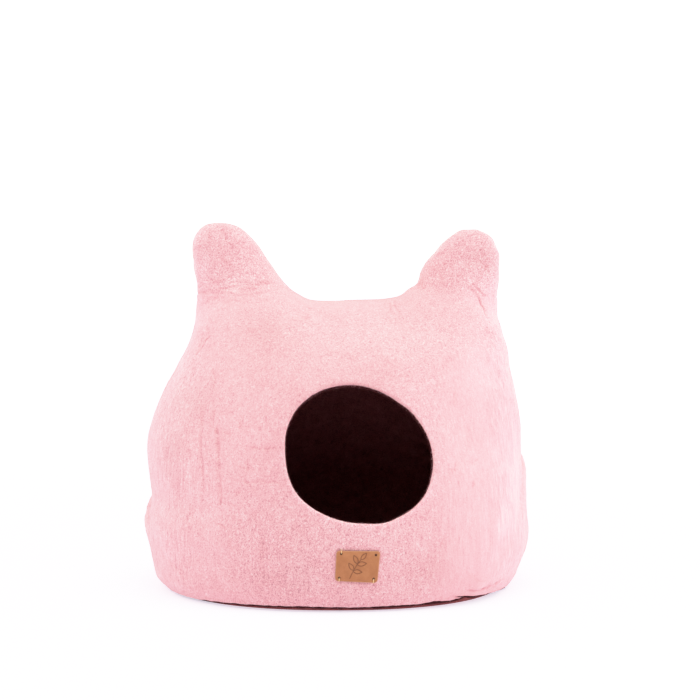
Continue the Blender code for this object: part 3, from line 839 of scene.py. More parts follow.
def felt_body(creases):
    verts, skin, brown, faces = felt_mesh()
    mesh = bpy.data.meshes.new("felt_cave")
    mesh.from_pydata(verts.tolist(), [], [tuple(int(v) for v in f) for f in faces])
    for name, value in (("skin", skin), ("brown", brown)):
        mesh.attributes.new(name, "FLOAT", "POINT").data.foreach_set("value", value)
    bm = bmesh.new()
    bm.from_mesh(mesh)
    layer = bm.verts.layers.float["skin"]
    for reach, extra, hem_up, hem_back, floor_size, least in ((2.0, 1.8, 9.0, 60.0, 1.5, 0.0), (1.45, 0.5, 7.5, 20.0, 1.1, 0.55)):
        bm.faces.ensure_lookup_table()
        outer = [f for f in bm.faces if all(v[layer] == 1.0 for v in f.verts)]
        centres = np.array([f.calc_center_median()[:] for f in outer])
        size = np.array([math.sqrt(f.calc_area()) for f in outer])
        picked = [c for k, c in enumerate(creases) if c[0] * (1.0 if k < len(FRONT) else 0.6) >= least]
        want = near_crease(centres, picked, reach, extra) & (size > floor_size)
        want |= (centres[:, 2] < hem_up) & (centres[:, 2] > 0.05) & (centres[:, 1] < hem_back) & (size > floor_size)
        edges = {e for f, w in zip(outer, want) if w for e in f.edges}
        bmesh.ops.subdivide_edges(bm, edges=list(edges), cuts=1, use_grid_fill=True)
    bm.to_mesh(mesh)
    bm.free()
    count = len(mesh.vertices)
    p = np.empty(count * 3)
    mesh.vertices.foreach_get("co", p)
    p = p.reshape(-1, 3)
    skin, brown = np.empty(count), np.empty(count)
    mesh.attributes["skin"].data.foreach_get("value", skin)
    mesh.attributes["brown"].data.foreach_get("value", brown)
    outer = (skin > 0) & (p[:, 2] > 1e-4)
    q = p[outer]
    n = outward(q)
    full = (skin[outer] > 0.999)[:, None]
    q = np.where(full, q - n * felt(*q.T)[:, None], q)
    rise = hem(q)
    off, painted_shade = relief(q, n, creases)
    # no relief where it stands on the floor or under the patch
    t = math.radians(PATCH_TURN)
    dx, dz = q[:, 0] - PATCH_X, q[:, 2] - PATCH_Z
    u, v = dx * math.cos(t) + dz * math.sin(t), -dx * math.sin(t) + dz * math.cos(t)
    away = np.maximum(np.abs(u) - PATCH_WIDE / 2, np.abs(v) - PATCH_HIGH / 2)
    under = smooth(1 - away / 5.0) * (q[:, 1] < 0)
    press = (-0.45 * under + (0.5 * np.exp(-((away - 4.4) / 2.4) ** 2) - 0.5 * np.exp(-(away / 1.7) ** 2))
             * (q[:, 1] < 0) * (np.abs(away) < 14))
    ground = smooth((q[:, 2] - 0.5) / 9.0)
    off = np.where(under > 0.02, np.minimum(off, 0) * (1 - under) + off * 0 , off) * ground + press
    # the pink layer's lip over the brown one
    gap = q[:, 2] - rise
    low = q[:, 2] < 16
    tuck = smooth(-gap / 0.9 + 0.3) * smooth(q[:, 2] / 1.1) * (0.9 + 1.3 * np.exp(-((gap + 0.9) / 1.1) ** 2))
    off += np.where(low, 0.9 * np.exp(-((gap - 1.3) / 1.5) ** 2) - tuck, 0)
    p[outer] = q + n * (off * skin[outer])[:, None]
    p[:, 2] = np.maximum(p[:, 2], 0.0)
    floor_brown = smooth(0.5 - gap / 0.9)
    hemmed = full[:, 0] & low
    values = brown.copy()
    values[outer] = np.where(hemmed, floor_brown, brown[outer])
    values[(p[:, 2] <= 1e-4)] = 1.0
    # painted shade: the creases, a painted shadow under the pink lip along the hem, and the brown rim of the opening
    darker = np.zeros(count)
    shade = 1.2 * np.exp(-((gap + 1.6) / 2.3) ** 2) * (gap < 0.8)
    darker[outer] = np.where(full[:, 0], np.where(low & (gap < 0.8), shade, painted_shade), brown[outer])
    # the opening's cut face gets full painted shade
    inside_rim = (skin > 0) & (skin < 0.7)
    darker[inside_rim] = 1.0
    mesh.vertices.foreach_set("co", (p * MM).ravel())
    mesh.attributes["brown"].data.foreach_set("value", values)
    mesh.attributes.new("painted_shade", "FLOAT", "POINT").data.foreach_set("value", darker)
    x, y, z = p.T
    front = smooth((-y - 20) / 60)
    rough = (0.66 + 0.42 * smooth((z - 330) / 25) + 0.36 * smooth((150 - z) / 70) * smooth((130 - np.abs(x + 10)) / 60)
             + 0.12 * smooth((z - 255) / 30) * smooth((345 - z) / 20) * smooth((140 - np.abs(x - 30)) / 50) * front
             - 0.34 * smooth((x - 95) / 40) * smooth((300 - z) / 50) * front
             + 0.10 * smooth((-x - 110) / 40) * smooth((300 - z) / 50) * front)
    mesh.attributes.new("grain", "FLOAT", "POINT").data.foreach_set("value", np.clip(rough, 0.25, 1.1))
    flank = np.maximum(smooth((np.abs(x - 8) - 135) / 45), 0.42) * smooth((345 - z) / 35) * (1 - 0.25 * smooth((-x - 60) / 60)) * (1 - 0.22 * smooth((x - 120) / 50)) * (1 - 0.6 * smooth((y + 70) / 90))
    mesh.attributes.new("flank", "FLOAT", "POINT").data.foreach_set("value", flank)
    # painted shade and painted highlight, with the ears' darker wool, go into the tone attribute
    rows = np.array(PAINTED_LIGHT_AND_DYE, float)
    tone = np.zeros(count)
    for at, reach, change in zip(seen(rows[:, 0], rows[:, 1]), rows[:, 2], rows[:, 3]):
        tone += change * np.exp(-(np.linalg.norm(p - at, axis=1) / reach) ** 2)
    # the entrance's edge: painted highlight below, painted shade above
    px, pz = x - START_X, z - START_Z
    beyond = np.hypot(px, pz) - door_radius(np.arctan2(pz, px))
    below = smooth((DOOR_Z - 15 - z) / 40)
    near = (y < -60) & (beyond < 40)
    tone += near * (0.16 * below * np.exp(-(np.maximum(beyond - 1.0, 0) / 3.6) ** 2)
                    - 0.13 * smooth((z - DOOR_Z - 25) / 40) * np.exp(-(np.maximum(beyond, 0) / 3.2) ** 2))
    mesh.attributes.new("tone", "FLOAT", "POINT").data.foreach_set("value", tone)
    rows = np.array(RIPPLES, float)
    ripple = np.zeros(count)
    for at, reach, strength in zip(seen(rows[:, 0], rows[:, 1]), rows[:, 2], rows[:, 3]):
        ripple = np.maximum(ripple, strength * np.exp(-(np.linalg.norm(p - at, axis=1) / reach) ** 2))
    mesh.attributes.new("ripple", "FLOAT", "POINT").data.foreach_set("value", ripple)
    mesh.polygons.foreach_set("use_smooth", np.ones(len(mesh.polygons), bool))
    mesh.update()
    mesh.validate()
    ob = bpy.data.objects.new("felt_cave", mesh)
    scene.collection.objects.link(ob)
    print("felt", len(mesh.vertices), "vertices", sum(len(f.vertices) - 2 for f in mesh.polygons), "triangles")
    return ob


# ---------------------------------------------------------------- node helpers
class Graph:
    """A short way to write a material's nodes."""

    def __init__(self, name):
        self.mat = bpy.data.materials.new(name)
        self.mat.use_nodes = True
        self.tree = self.mat.node_tree
        self.shader = self.tree.nodes["Principled BSDF"]
        self.columns = 0

    def node(self, kind, inputs=None, **settings):
        n = self.tree.nodes.new(kind)
        self.columns += 1
        n.location = (-260 - 190 * (self.columns // 6), 300 - 170 * (self.columns % 6))
        for key, value in settings.items():
            setattr(n, key, value)
        for key, value in (inputs or {}).items():
            self.put(n.inputs[key], value)
        return n

    def put(self, socket, value):
        if isinstance(value, bpy.types.NodeSocket):
            self.tree.links.new(value, socket)
        else:
            socket.default_value = value

    def math(self, op, a, b=0.0, c=0.0, clamp=False):
        n = self.node("ShaderNodeMath", {0: a, 1: b}, operation=op, use_clamp=clamp)
        if op == "MULTIPLY_ADD":
            self.put(n.inputs[2], c)
        return n.outputs[0]

    def vector(self, op, a, b=None, scale=None):
        n = self.node("ShaderNodeVectorMath", {0: a}, operation=op)
        if b is not None:
            self.put(n.inputs[1], b)
        if scale is not None:
            self.put(n.inputs["Scale"], scale)
        return n.outputs[0]

    def noise(self, at, scale, detail=2.0, rough=0.5, colour=False, distort=0.0):
        n = self.node("ShaderNodeTexNoise", {"Vector": at, "Scale": scale, "Detail": detail,
                                             "Roughness": rough, "Distortion": distort})
        return n.outputs["Color" if colour else 0]

    def attribute(self, name):
        return self.node("ShaderNodeAttribute", attribute_name=name).outputs["Fac"]

    def mix(self, share, a, b, kind="MIX"):
        n = self.node("ShaderNodeMix", data_type="RGBA", blend_type=kind)
        self.put(n.inputs[0], share)
        self.put(n.inputs[6], a)
        self.put(n.inputs[7], b)
        return n.outputs[2]

    def ramp(self, value, stops):
        n = self.node("ShaderNodeValToRGB", {0: value})
        while len(n.color_ramp.elements) < len(stops):
            n.color_ramp.elements.new(0.5)
        for e, (at, colour) in zip(n.color_ramp.elements, stops):
            e.position = at
            e.color = (*colour, 1.0)
        return n.outputs[0]

    def millimetres(self):
        at = self.node("ShaderNodeTexCoord").outputs["Object"]
        return self.vector("SCALE", at, scale=1000.0)


def wool(g, at):
    """The worm-like fine grain of felted wool: returns grain and fibre heights, 0 to 1."""
    at = g.vector("MULTIPLY", at, (1.36, 1.36, 1.14))
    bend = g.noise(at, 0.16, 2.0, colour=True)
    bend = g.vector("SCALE", g.vector("SUBTRACT", bend, (0.5, 0.5, 0.5)), scale=9.0)
    bent = g.vector("ADD", at, bend)
    worm = g.noise(bent, 0.36, 2.0, 0.55)
    worm = g.math("ABSOLUTE", g.math("MULTIPLY_ADD", worm, 2.0, -1.0))
    worm = g.math("SUBTRACT", 1.0, g.math("POWER", g.math("MULTIPLY", worm, 3.0, clamp=True), 0.7), clamp=True)
    fine = g.noise(bent, 0.62, 3.0, 0.6)
    threads = None
    for turn in ((0.3, 0.5, 0.2), (1.2, 0.2, 1.4), (0.7, 1.3, 2.3)):
        m = g.node("ShaderNodeMapping", {"Vector": bent, "Rotation": turn, "Scale": (0.16, 1.15, 1.15)})
        one = g.noise(m.outputs[0], 0.9, 1.0)
        threads = one if threads is None else g.math("MAXIMUM", threads, one)
    return worm, fine, threads


def felt_material(name, sheen):
    g = Graph(name)
    at = g.millimetres()
    worm, fine, threads = wool(g, at)
    grain, flank = g.attribute("grain"), g.attribute("flank")
    # broad clouds and mottles in the dyed wool
    clouds = g.noise(at, 0.012, 2.0)
    mottle = g.noise(at, 0.085, 3.0, 0.6)
    m = g.node("ShaderNodeMapping", {"Vector": at, "Scale": (0.43, 0.43, 0.035)})
    streak = g.noise(m.outputs[0], 1.0, 2.0)
    # fine wrinkles that lie across
    bend = g.vector("SCALE", g.vector("SUBTRACT", g.noise(at, 0.05, 1.0, colour=True), (0.5, 0.5, 0.5)), scale=14.0)
    m = g.node("ShaderNodeMapping", {"Vector": g.vector("ADD", at, bend), "Scale": (0.045, 0.045, 0.26)})
    ripple = g.math("SUBTRACT", g.noise(m.outputs[0], 1.0, 2.0, 0.55), 0.5)
    ripple = g.math("MULTIPLY", ripple, g.attribute("ripple"))
    # dark gaps between fibres, light fibres on top
    cells = g.noise(at, 0.44, 1.0, 0.5, distort=0.6)
    marks = None
    for turn in ((0.0, 0.25, 0.0), (0.4, 1.1, 0.3)):
        m = g.node("ShaderNodeMapping", {"Vector": at, "Rotation": turn, "Scale": (1.0, 1.0, 0.54)})
        one = g.noise(m.outputs[0], 1.0, 1.0, 0.5, distort=0.5)
        marks = one if marks is None else g.math("MINIMUM", marks, one)
    marks = g.math("MULTIPLY", g.math("SUBTRACT", 0.45, marks), 6.0, clamp=True)
    level = g.math("MULTIPLY_ADD", fine, 3.0, -1.5)
    level = g.math("MULTIPLY_ADD", marks, -0.42, level)
    level = g.math("ADD", level, 0.11)
    level = g.math("MULTIPLY_ADD", g.math("SUBTRACT", cells, 0.5), 0.55, level)
    level = g.math("MULTIPLY_ADD", g.math("SUBTRACT", threads, 0.60), 1.15, level)
    level = g.math("MULTIPLY_ADD", worm, -0.10, level)
    level = g.math("MULTIPLY_ADD", g.math("SUBTRACT", mottle, 0.5), 0.36, level)
    level = g.math("MULTIPLY", level, grain)
    level = g.math("MULTIPLY_ADD", g.math("MULTIPLY", g.math("SUBTRACT", streak, 0.5), flank), 1.5, level)
    level = g.math("MULTIPLY_ADD", g.math("SUBTRACT", clouds, 0.5), 0.30, level)
    # the wrinkles' painted shade and painted highlight in the colour, besides their bump
    level = g.math("MULTIPLY_ADD", ripple, 1.6, level)
    # painted shade: darker in the creases, under the hem's pink lip and on the opening's cut face
    painted_shade_amount = g.math("MULTIPLY", g.attribute("painted_shade"), g.math("MULTIPLY_ADD", cells, 0.8, 0.40, clamp=True))
    level = g.math("MULTIPLY_ADD", painted_shade_amount, -0.36, level)
    # painted highlight: the opening's rounded lip is lighter pink
    level = g.math("MULTIPLY_ADD", g.math("SUBTRACT", 1.0, g.attribute("skin"), clamp=True), 1.1, level)
    level = g.math("ADD", level, 0.55, clamp=True)
    pink = g.ramp(level, ((0.0, (0.57, 0.258, 0.282)), (0.35, (0.768, 0.371, 0.387)),
                          (0.55, (0.84, 0.430, 0.438)), (0.78, (0.885, 0.506, 0.506)),
                          (1.0, (0.93, 0.62, 0.605))))
    # the tone attribute scales the pink: painted shade and painted highlight, and the ears' darker wool
    pink = g.vector("SCALE", pink, scale=g.math("ADD", 1.0, g.attribute("tone")))
    dark = g.math("MULTIPLY_ADD", fine, 0.9, -0.45)
    dark = g.math("MULTIPLY_ADD", g.math("SUBTRACT", threads, 0.60), 0.9, dark)
    dark = g.math("ADD", g.math("MULTIPLY_ADD", g.math("SUBTRACT", mottle, 0.5), 0.6, dark), 0.5, clamp=True)
    # painted shade on the brown layer: the shadow under the hem's lip and the rim's cut face
    dark = g.math("MULTIPLY_ADD", g.attribute("painted_shade"), -0.72, dark, clamp=True)
    brown = g.ramp(dark, ((0.0, (0.050, 0.011, 0.013)), (0.5, (0.30, 0.083, 0.081)), (1.0, (0.44, 0.178, 0.162))))
    # the two layers meet in a fibrous line
    share = g.math("MULTIPLY_ADD", g.math("SUBTRACT", fine, 0.5), 0.8, g.attribute("brown"))
    share = g.math("MULTIPLY_ADD", g.math("SUBTRACT", share, 0.5), 3.2, 0.5, clamp=True)
    colour = g.mix(share, pink, brown)
    height = g.math("MULTIPLY_ADD", threads, 0.8, g.math("MULTIPLY_ADD", fine, 1.0, g.math("MULTIPLY", worm, -0.35)))
    height = g.math("MULTIPLY_ADD", g.math("MULTIPLY", streak, flank), 1.6, height)
    height = g.math("MULTIPLY_ADD", ripple, 1.7, height)
    bump = g.node("ShaderNodeBump", {"Strength": 0.42, "Distance": 0.0007, "Height": height})
    s = g.shader.inputs
    g.put(s["Base Color"], colour)
    g.put(s["Normal"], bump.outputs[0])
    g.put(s["Roughness"], g.math("MULTIPLY_ADD", fine, 0.12, 0.86))
    s["Specular IOR Level"].default_value = 0.16 if sheen else 0.05
    s["Sheen Weight"].default_value = sheen
    s["Sheen Roughness"].default_value = 0.45
    s["Sheen Tint"].default_value = (1.0, 0.86, 0.86, 1.0)
    return g.mat


def fuzz_material(name, low, high):
    g = Graph(name)
    at = g.millimetres()
    tone = g.noise(at, 0.5, 2.0)
    g.put(g.shader.inputs["Base Color"], g.ramp(tone, ((0.3, low), (0.7, high))))
    g.put(g.shader.inputs["Roughness"], g.math("MULTIPLY_ADD", g.noise(at, 2.0, 1.0), 0.2, 0.72))
    g.shader.inputs["Specular IOR Level"].default_value = 0.15
    return g.mat


def leather_material():
    g = Graph("tan_leather")
    at = g.millimetres()
    warp = g.vector("SCALE", g.vector("SUBTRACT", g.noise(at, 0.35, 1.0, colour=True), (0.5, 0.5, 0.5)), scale=1.1)
    bent = g.vector("ADD", at, warp)
    cells = g.node("ShaderNodeTexVoronoi", {"Vector": bent, "Scale": 1.9}, feature="DISTANCE_TO_EDGE").outputs[0]
    pebble = g.math("MULTIPLY", cells, 3.2, clamp=True)
    pores = g.noise(bent, 3.2, 2.0)
    clouds = g.noise(at, 0.10, 3.0, 0.6)
    level = g.math("MULTIPLY_ADD", g.math("SUBTRACT", clouds, 0.5), 1.1, 0.5)
    level = g.math("MULTIPLY_ADD", g.math("SUBTRACT", pores, 0.5), 0.45, level)
    level = g.math("MULTIPLY_ADD", g.math("SUBTRACT", pebble, 0.6), 0.14, level, )
    tan = g.ramp(level, ((0.0, (0.335, 0.120, 0.040)), (0.5, (0.430, 0.170, 0.063)), (1.0, (0.53, 0.238, 0.100))))
    # painted highlight along the patch's edges and hole rims
    tan = g.mix(g.math("MULTIPLY", g.attribute("edge_highlight"), 0.55, clamp=True), tan, (0.66, 0.36, 0.20, 1))
    # darker: the pressed sprig lines, and painted shade in the hole pits
    tan = g.mix(g.math("MULTIPLY", g.attribute("mark"), 0.90, clamp=True), tan, (0.085, 0.024, 0.008, 1))
    tan = g.mix(g.math("MULTIPLY", g.attribute("side"), 0.75, clamp=True), tan, (0.20, 0.070, 0.028, 1))
    height = g.math("MULTIPLY_ADD", pebble, 0.5, g.math("MULTIPLY", pores, 0.7))
    bump = g.node("ShaderNodeBump", {"Strength": 0.30, "Distance": 0.00025, "Height": height})
    s = g.shader.inputs
    g.put(s["Base Color"], tan)
    g.put(s["Normal"], bump.outputs[0])
    g.put(s["Roughness"], g.math("MULTIPLY_ADD", clouds, 0.2, 0.47))
    s["Specular IOR Level"].default_value = 0.42
    return g.mat


def thread_material():
    g = Graph("gold_thread")
    at = g.millimetres()
    m = g.node("ShaderNodeMapping", {"Vector": at, "Scale": (2.5, 2.5, 0.7)})
    strands = g.noise(m.outputs[0], 2.2, 2.0)
    g.put(g.shader.inputs["Base Color"], g.ramp(strands, ((0.3, (0.78, 0.52, 0.21)), (0.7, (0.98, 0.80, 0.46)))))
    bump = g.node("ShaderNodeBump", {"Strength": 0.4, "Distance": 0.0001, "Height": strands})
    g.put(g.shader.inputs["Normal"], bump.outputs[0])
    g.put(g.shader.inputs["Roughness"], g.math("MULTIPLY_ADD", strands, 0.2, 0.55))
    g.shader.inputs["Sheen Weight"].default_value = 0.2
    return g.mat


def floor_material():
    """A pale sheet, lit from below as well."""
    g = Graph("pale_floor")
    at = g.node("ShaderNodeTexCoord").outputs["Object"]
    tone = g.noise(at, 1.3, 2.0)
    g.put(g.shader.inputs["Base Color"], g.ramp(tone, ((0.3, (0.565, 0.545, 0.6)), (0.7, (0.58, 0.56, 0.615)))))
    g.put(g.shader.inputs["Roughness"], g.math("MULTIPLY_ADD", tone, 0.1, 0.85))
    g.shader.inputs["Specular IOR Level"].default_value = 0.1
    g.shader.inputs["Emission Color"].default_value = (1.0, 0.945, 1.05, 1.0)
    far = g.node("ShaderNodeVectorMath", {0: at}, operation="LENGTH").outputs["Value"]
    far = g.math("MULTIPLY_ADD", far, 0.4, -0.25, clamp=True)
    g.put(g.shader.inputs["Emission Strength"], g.math("MULTIPLY_ADD", far, 0.55, FLOOR_GLOW))
    return g.mat


# ---------------------------------------------------------------- loose fibres
def mesh_object(name, verts, faces, mat, smooth_faces=True):
    mesh = bpy.data.meshes.new(name)
    mesh.from_pydata(verts, [], faces)
    mesh.polygons.foreach_set("use_smooth", np.full(len(mesh.polygons), smooth_faces))
    mesh.materials.append(mat)
    mesh.update()
    ob = bpy.data.objects.new(name, mesh)
    scene.collection.objects.link(ob)
    return ob


def strands(name, root, out, along, long, thick, mat, bow=None):
    """Tiny closed tapering fibres. root, out and along are rows of 3; sizes are in mm."""
    n = len(root)
    side = np.cross(out, along)
    side /= np.linalg.norm(side, axis=1)[:, None]
    bow = np.zeros(n) if bow is None else bow
    rise = np.array([[-0.12, 0.0], [0.55, 0.45], [0.95, 1.0]])   # height share, length share
    verts = np.empty((n, 7, 3))
    for ring in (0, 1):
        up, go = rise[ring]
        middle = (root + out * (up * long * 0.34)[:, None] + along * (go * long)[:, None]
                  + side * (bow * long * 0.22 * (ring == 1))[:, None])
        for k in range(3):
            a = 2 * math.pi * k / 3
            wide = thick * (1.0 if ring == 0 else 0.8)
            verts[:, 3 * ring + k] = middle + (side * math.cos(a) + out * math.sin(a)) * wide[:, None]
    verts[:, 6] = root + out * (rise[2][0] * long * 0.34)[:, None] + along * (rise[2][1] * long)[:, None]
    above = verts[:, :, 2].min(1) > 0.03
    verts, n = verts[above], int(above.sum())
    tri = np.array([(0, 2, 1), (0, 1, 4), (0, 4, 3), (1, 2, 5), (1, 5, 4), (2, 0, 3), (2, 3, 5),
                    (3, 4, 6), (4, 5, 6), (5, 3, 6)])
    faces = (np.arange(n)[:, None, None] * 7 + tri[None]).reshape(-1, 3)
    mesh = bpy.data.meshes.new(name)
    mesh.vertices.add(n * 7)
    mesh.vertices.foreach_set("co", (verts * MM).ravel())
    mesh.loops.add(len(faces) * 3)
    mesh.loops.foreach_set("vertex_index", faces.ravel().astype(np.int32))
    mesh.polygons.add(len(faces))
    mesh.polygons.foreach_set("loop_start", np.arange(0, len(faces) * 3, 3, dtype=np.int32))
    mesh.polygons.foreach_set("use_smooth", np.ones(len(faces), bool))
    mesh.update()
    mesh.validate()
    mesh.materials.append(mat)
    ob = bpy.data.objects.new(name, mesh)
    scene.collection.objects.link(ob)
    return ob


def surface_samples(ob, count, rng, keep):
    """Seeded places on a mesh, spread by its attribute values: positions in mm and directions out of it."""
    mesh = ob.data
    mesh.calc_loop_triangles()
    tris = np.empty(len(mesh.loop_triangles) * 3, np.int32)
    mesh.loop_triangles.foreach_get("vertices", tris)
    tris = tris.reshape(-1, 3)
    co = np.empty(len(mesh.vertices) * 3)
    mesh.vertices.foreach_get("co", co)
    co = co.reshape(-1, 3) / MM
    values = {}
    for name in ("skin", "brown"):
        v = np.empty(len(co))
        mesh.attributes[name].data.foreach_get("value", v)
        values[name] = v
    a, b, c = co[tris[:, 0]], co[tris[:, 1]], co[tris[:, 2]]
    cross = np.cross(b - a, c - a)
    area = np.linalg.norm(cross, axis=1)
    weight = area * keep(co[tris].mean(1), {k: v[tris].mean(1) for k, v in values.items()})
    total = np.cumsum(weight)
    pick = np.searchsorted(total, rng.uniform(0, total[-1], count))
    pick = np.minimum(pick, len(tris) - 1)
    r, s = rng.uniform(size=(2, count))
    flip = r + s > 1
    r, s = np.where(flip, 1 - r, r), np.where(flip, 1 - s, s)
    place = a[pick] + (b - a)[pick] * r[:, None] + (c - a)[pick] * s[:, None]
    return place, cross[pick] / area[pick][:, None]


def make_fuzz(body, pink, brown):
    rng = np.random.default_rng(41)
    out = []
    sets = [("loose_fibres_%d" % k, 19000, pink, lambda q, v: (v["skin"] > 0.99) * (v["brown"] < 0.5) * (q[:, 2] > 0.6)
             * (1 + 1.2 * (q[:, 1] < 30))) for k in (1, 2, 3)]
    sets.append(("rim_fibres_pink", 2600, pink, lambda q, v: (v["skin"] < 0.999) * (v["skin"] > 0.7)))
    sets.append(("rim_fibres_brown", 5200, brown,
                 lambda q, v: (v["skin"] < 0.85) * (v["skin"] > 0.03) + 0.5 * (v["skin"] > 0.99) * (v["brown"] > 0.6) * (q[:, 2] > 0.3)))
    sets.append(("rim_hairs_brown", 460, brown,
                 lambda q, v: (v["skin"] < 0.86) * (v["skin"] > 0.5) * (0.25 + (q[:, 2] > 190))))
    for name, count, mat, keep in sets:
        hair = 2.0 if "hairs" in name else 1.0
        root, normal = surface_samples(body, count, rng, keep)
        way = rng.normal(size=(count, 3))
        way -= normal * np.einsum("ij,ij->i", way, normal)[:, None]
        way /= np.linalg.norm(way, axis=1)[:, None]
        lean = rng.uniform(0.0, 0.9, count) ** 1.6
        along = way * (1 - 0.45 * lean)[:, None] + normal * (0.10 + 0.75 * lean)[:, None]
        along /= np.linalg.norm(along, axis=1)[:, None]
        long = hair * rng.uniform(0.8, 2.3, count) * (1 + 0.9 * (rng.uniform(size=count) > 0.93))
        thick = hair * rng.uniform(0.030, 0.052, count)
        up = np.cross(along, np.cross(normal, along))
        up /= np.linalg.norm(up, axis=1)[:, None]
        root = root - normal * 0.12
        keep_floor = root[:, 2] + np.minimum(along[:, 2], 0) * long > 0.15
        out.append(strands(name, root[keep_floor], up[keep_floor], along[keep_floor], long[keep_floor],
                           thick[keep_floor], mat, rng.uniform(-1, 1, keep_floor.sum())))
    return out


# ---------------------------------------------------------------- leather patch
def segment_distance(points, a, b):
    v = b - a
    t = np.clip(((points - a) @ v) / max(v @ v, 1e-9), 0, 1)
    return np.linalg.norm(points - (a + t[:, None] * v), axis=1)


def pulled(u, v):
    """A place on the patch after its corners have pulled."""
    a, b = u / (PATCH_WIDE / 2), v / (PATCH_HIGH / 2)
    du, dv = 0.0, 0.0
    for (sx, sy), (_, _, cu, cv) in CORNERS.items():
        share = (1 + sx * a) * (1 + sy * b) / 4
        du, dv = du + share * cu, dv + share * cv
    return u + du, v + dv


def sprig():
    """A plain leafy sprig as thin lines, in mm round the patch's middle."""
    lines = []
    stem = [(-6.2, -10.6), (-4.6, -6.4), (-2.6, -2.2), (-0.4, 2.0), (2.4, 5.8)]
    lines.append(stem)

    def leaf(x, y, turn, size, plump=0.26):
        c, s = math.cos(math.radians(turn)), math.sin(math.radians(turn))
        for side in (-1, 1):
            row = []
            for k in range(10):
                t = k / 9
                w = side * plump * size * math.sin(math.pi * t) ** 0.9 * (1 - 0.3 * t)
                row.append((x + c * t * size - s * w, y + s * t * size + c * w))
            lines.append(row)

    leaf(2.4, 5.8, 52, 7.2)
    leaf(-0.2, 2.3, 118, 8.0)
    leaf(-0.6, 1.7, 8, 8.2)
    leaf(-3.2, -3.4, 128, 7.6)
    leaf(-3.6, -4.2, -4, 7.8)
    return [1.2 * np.array(line) + (0.3, 0.2) for line in lines]


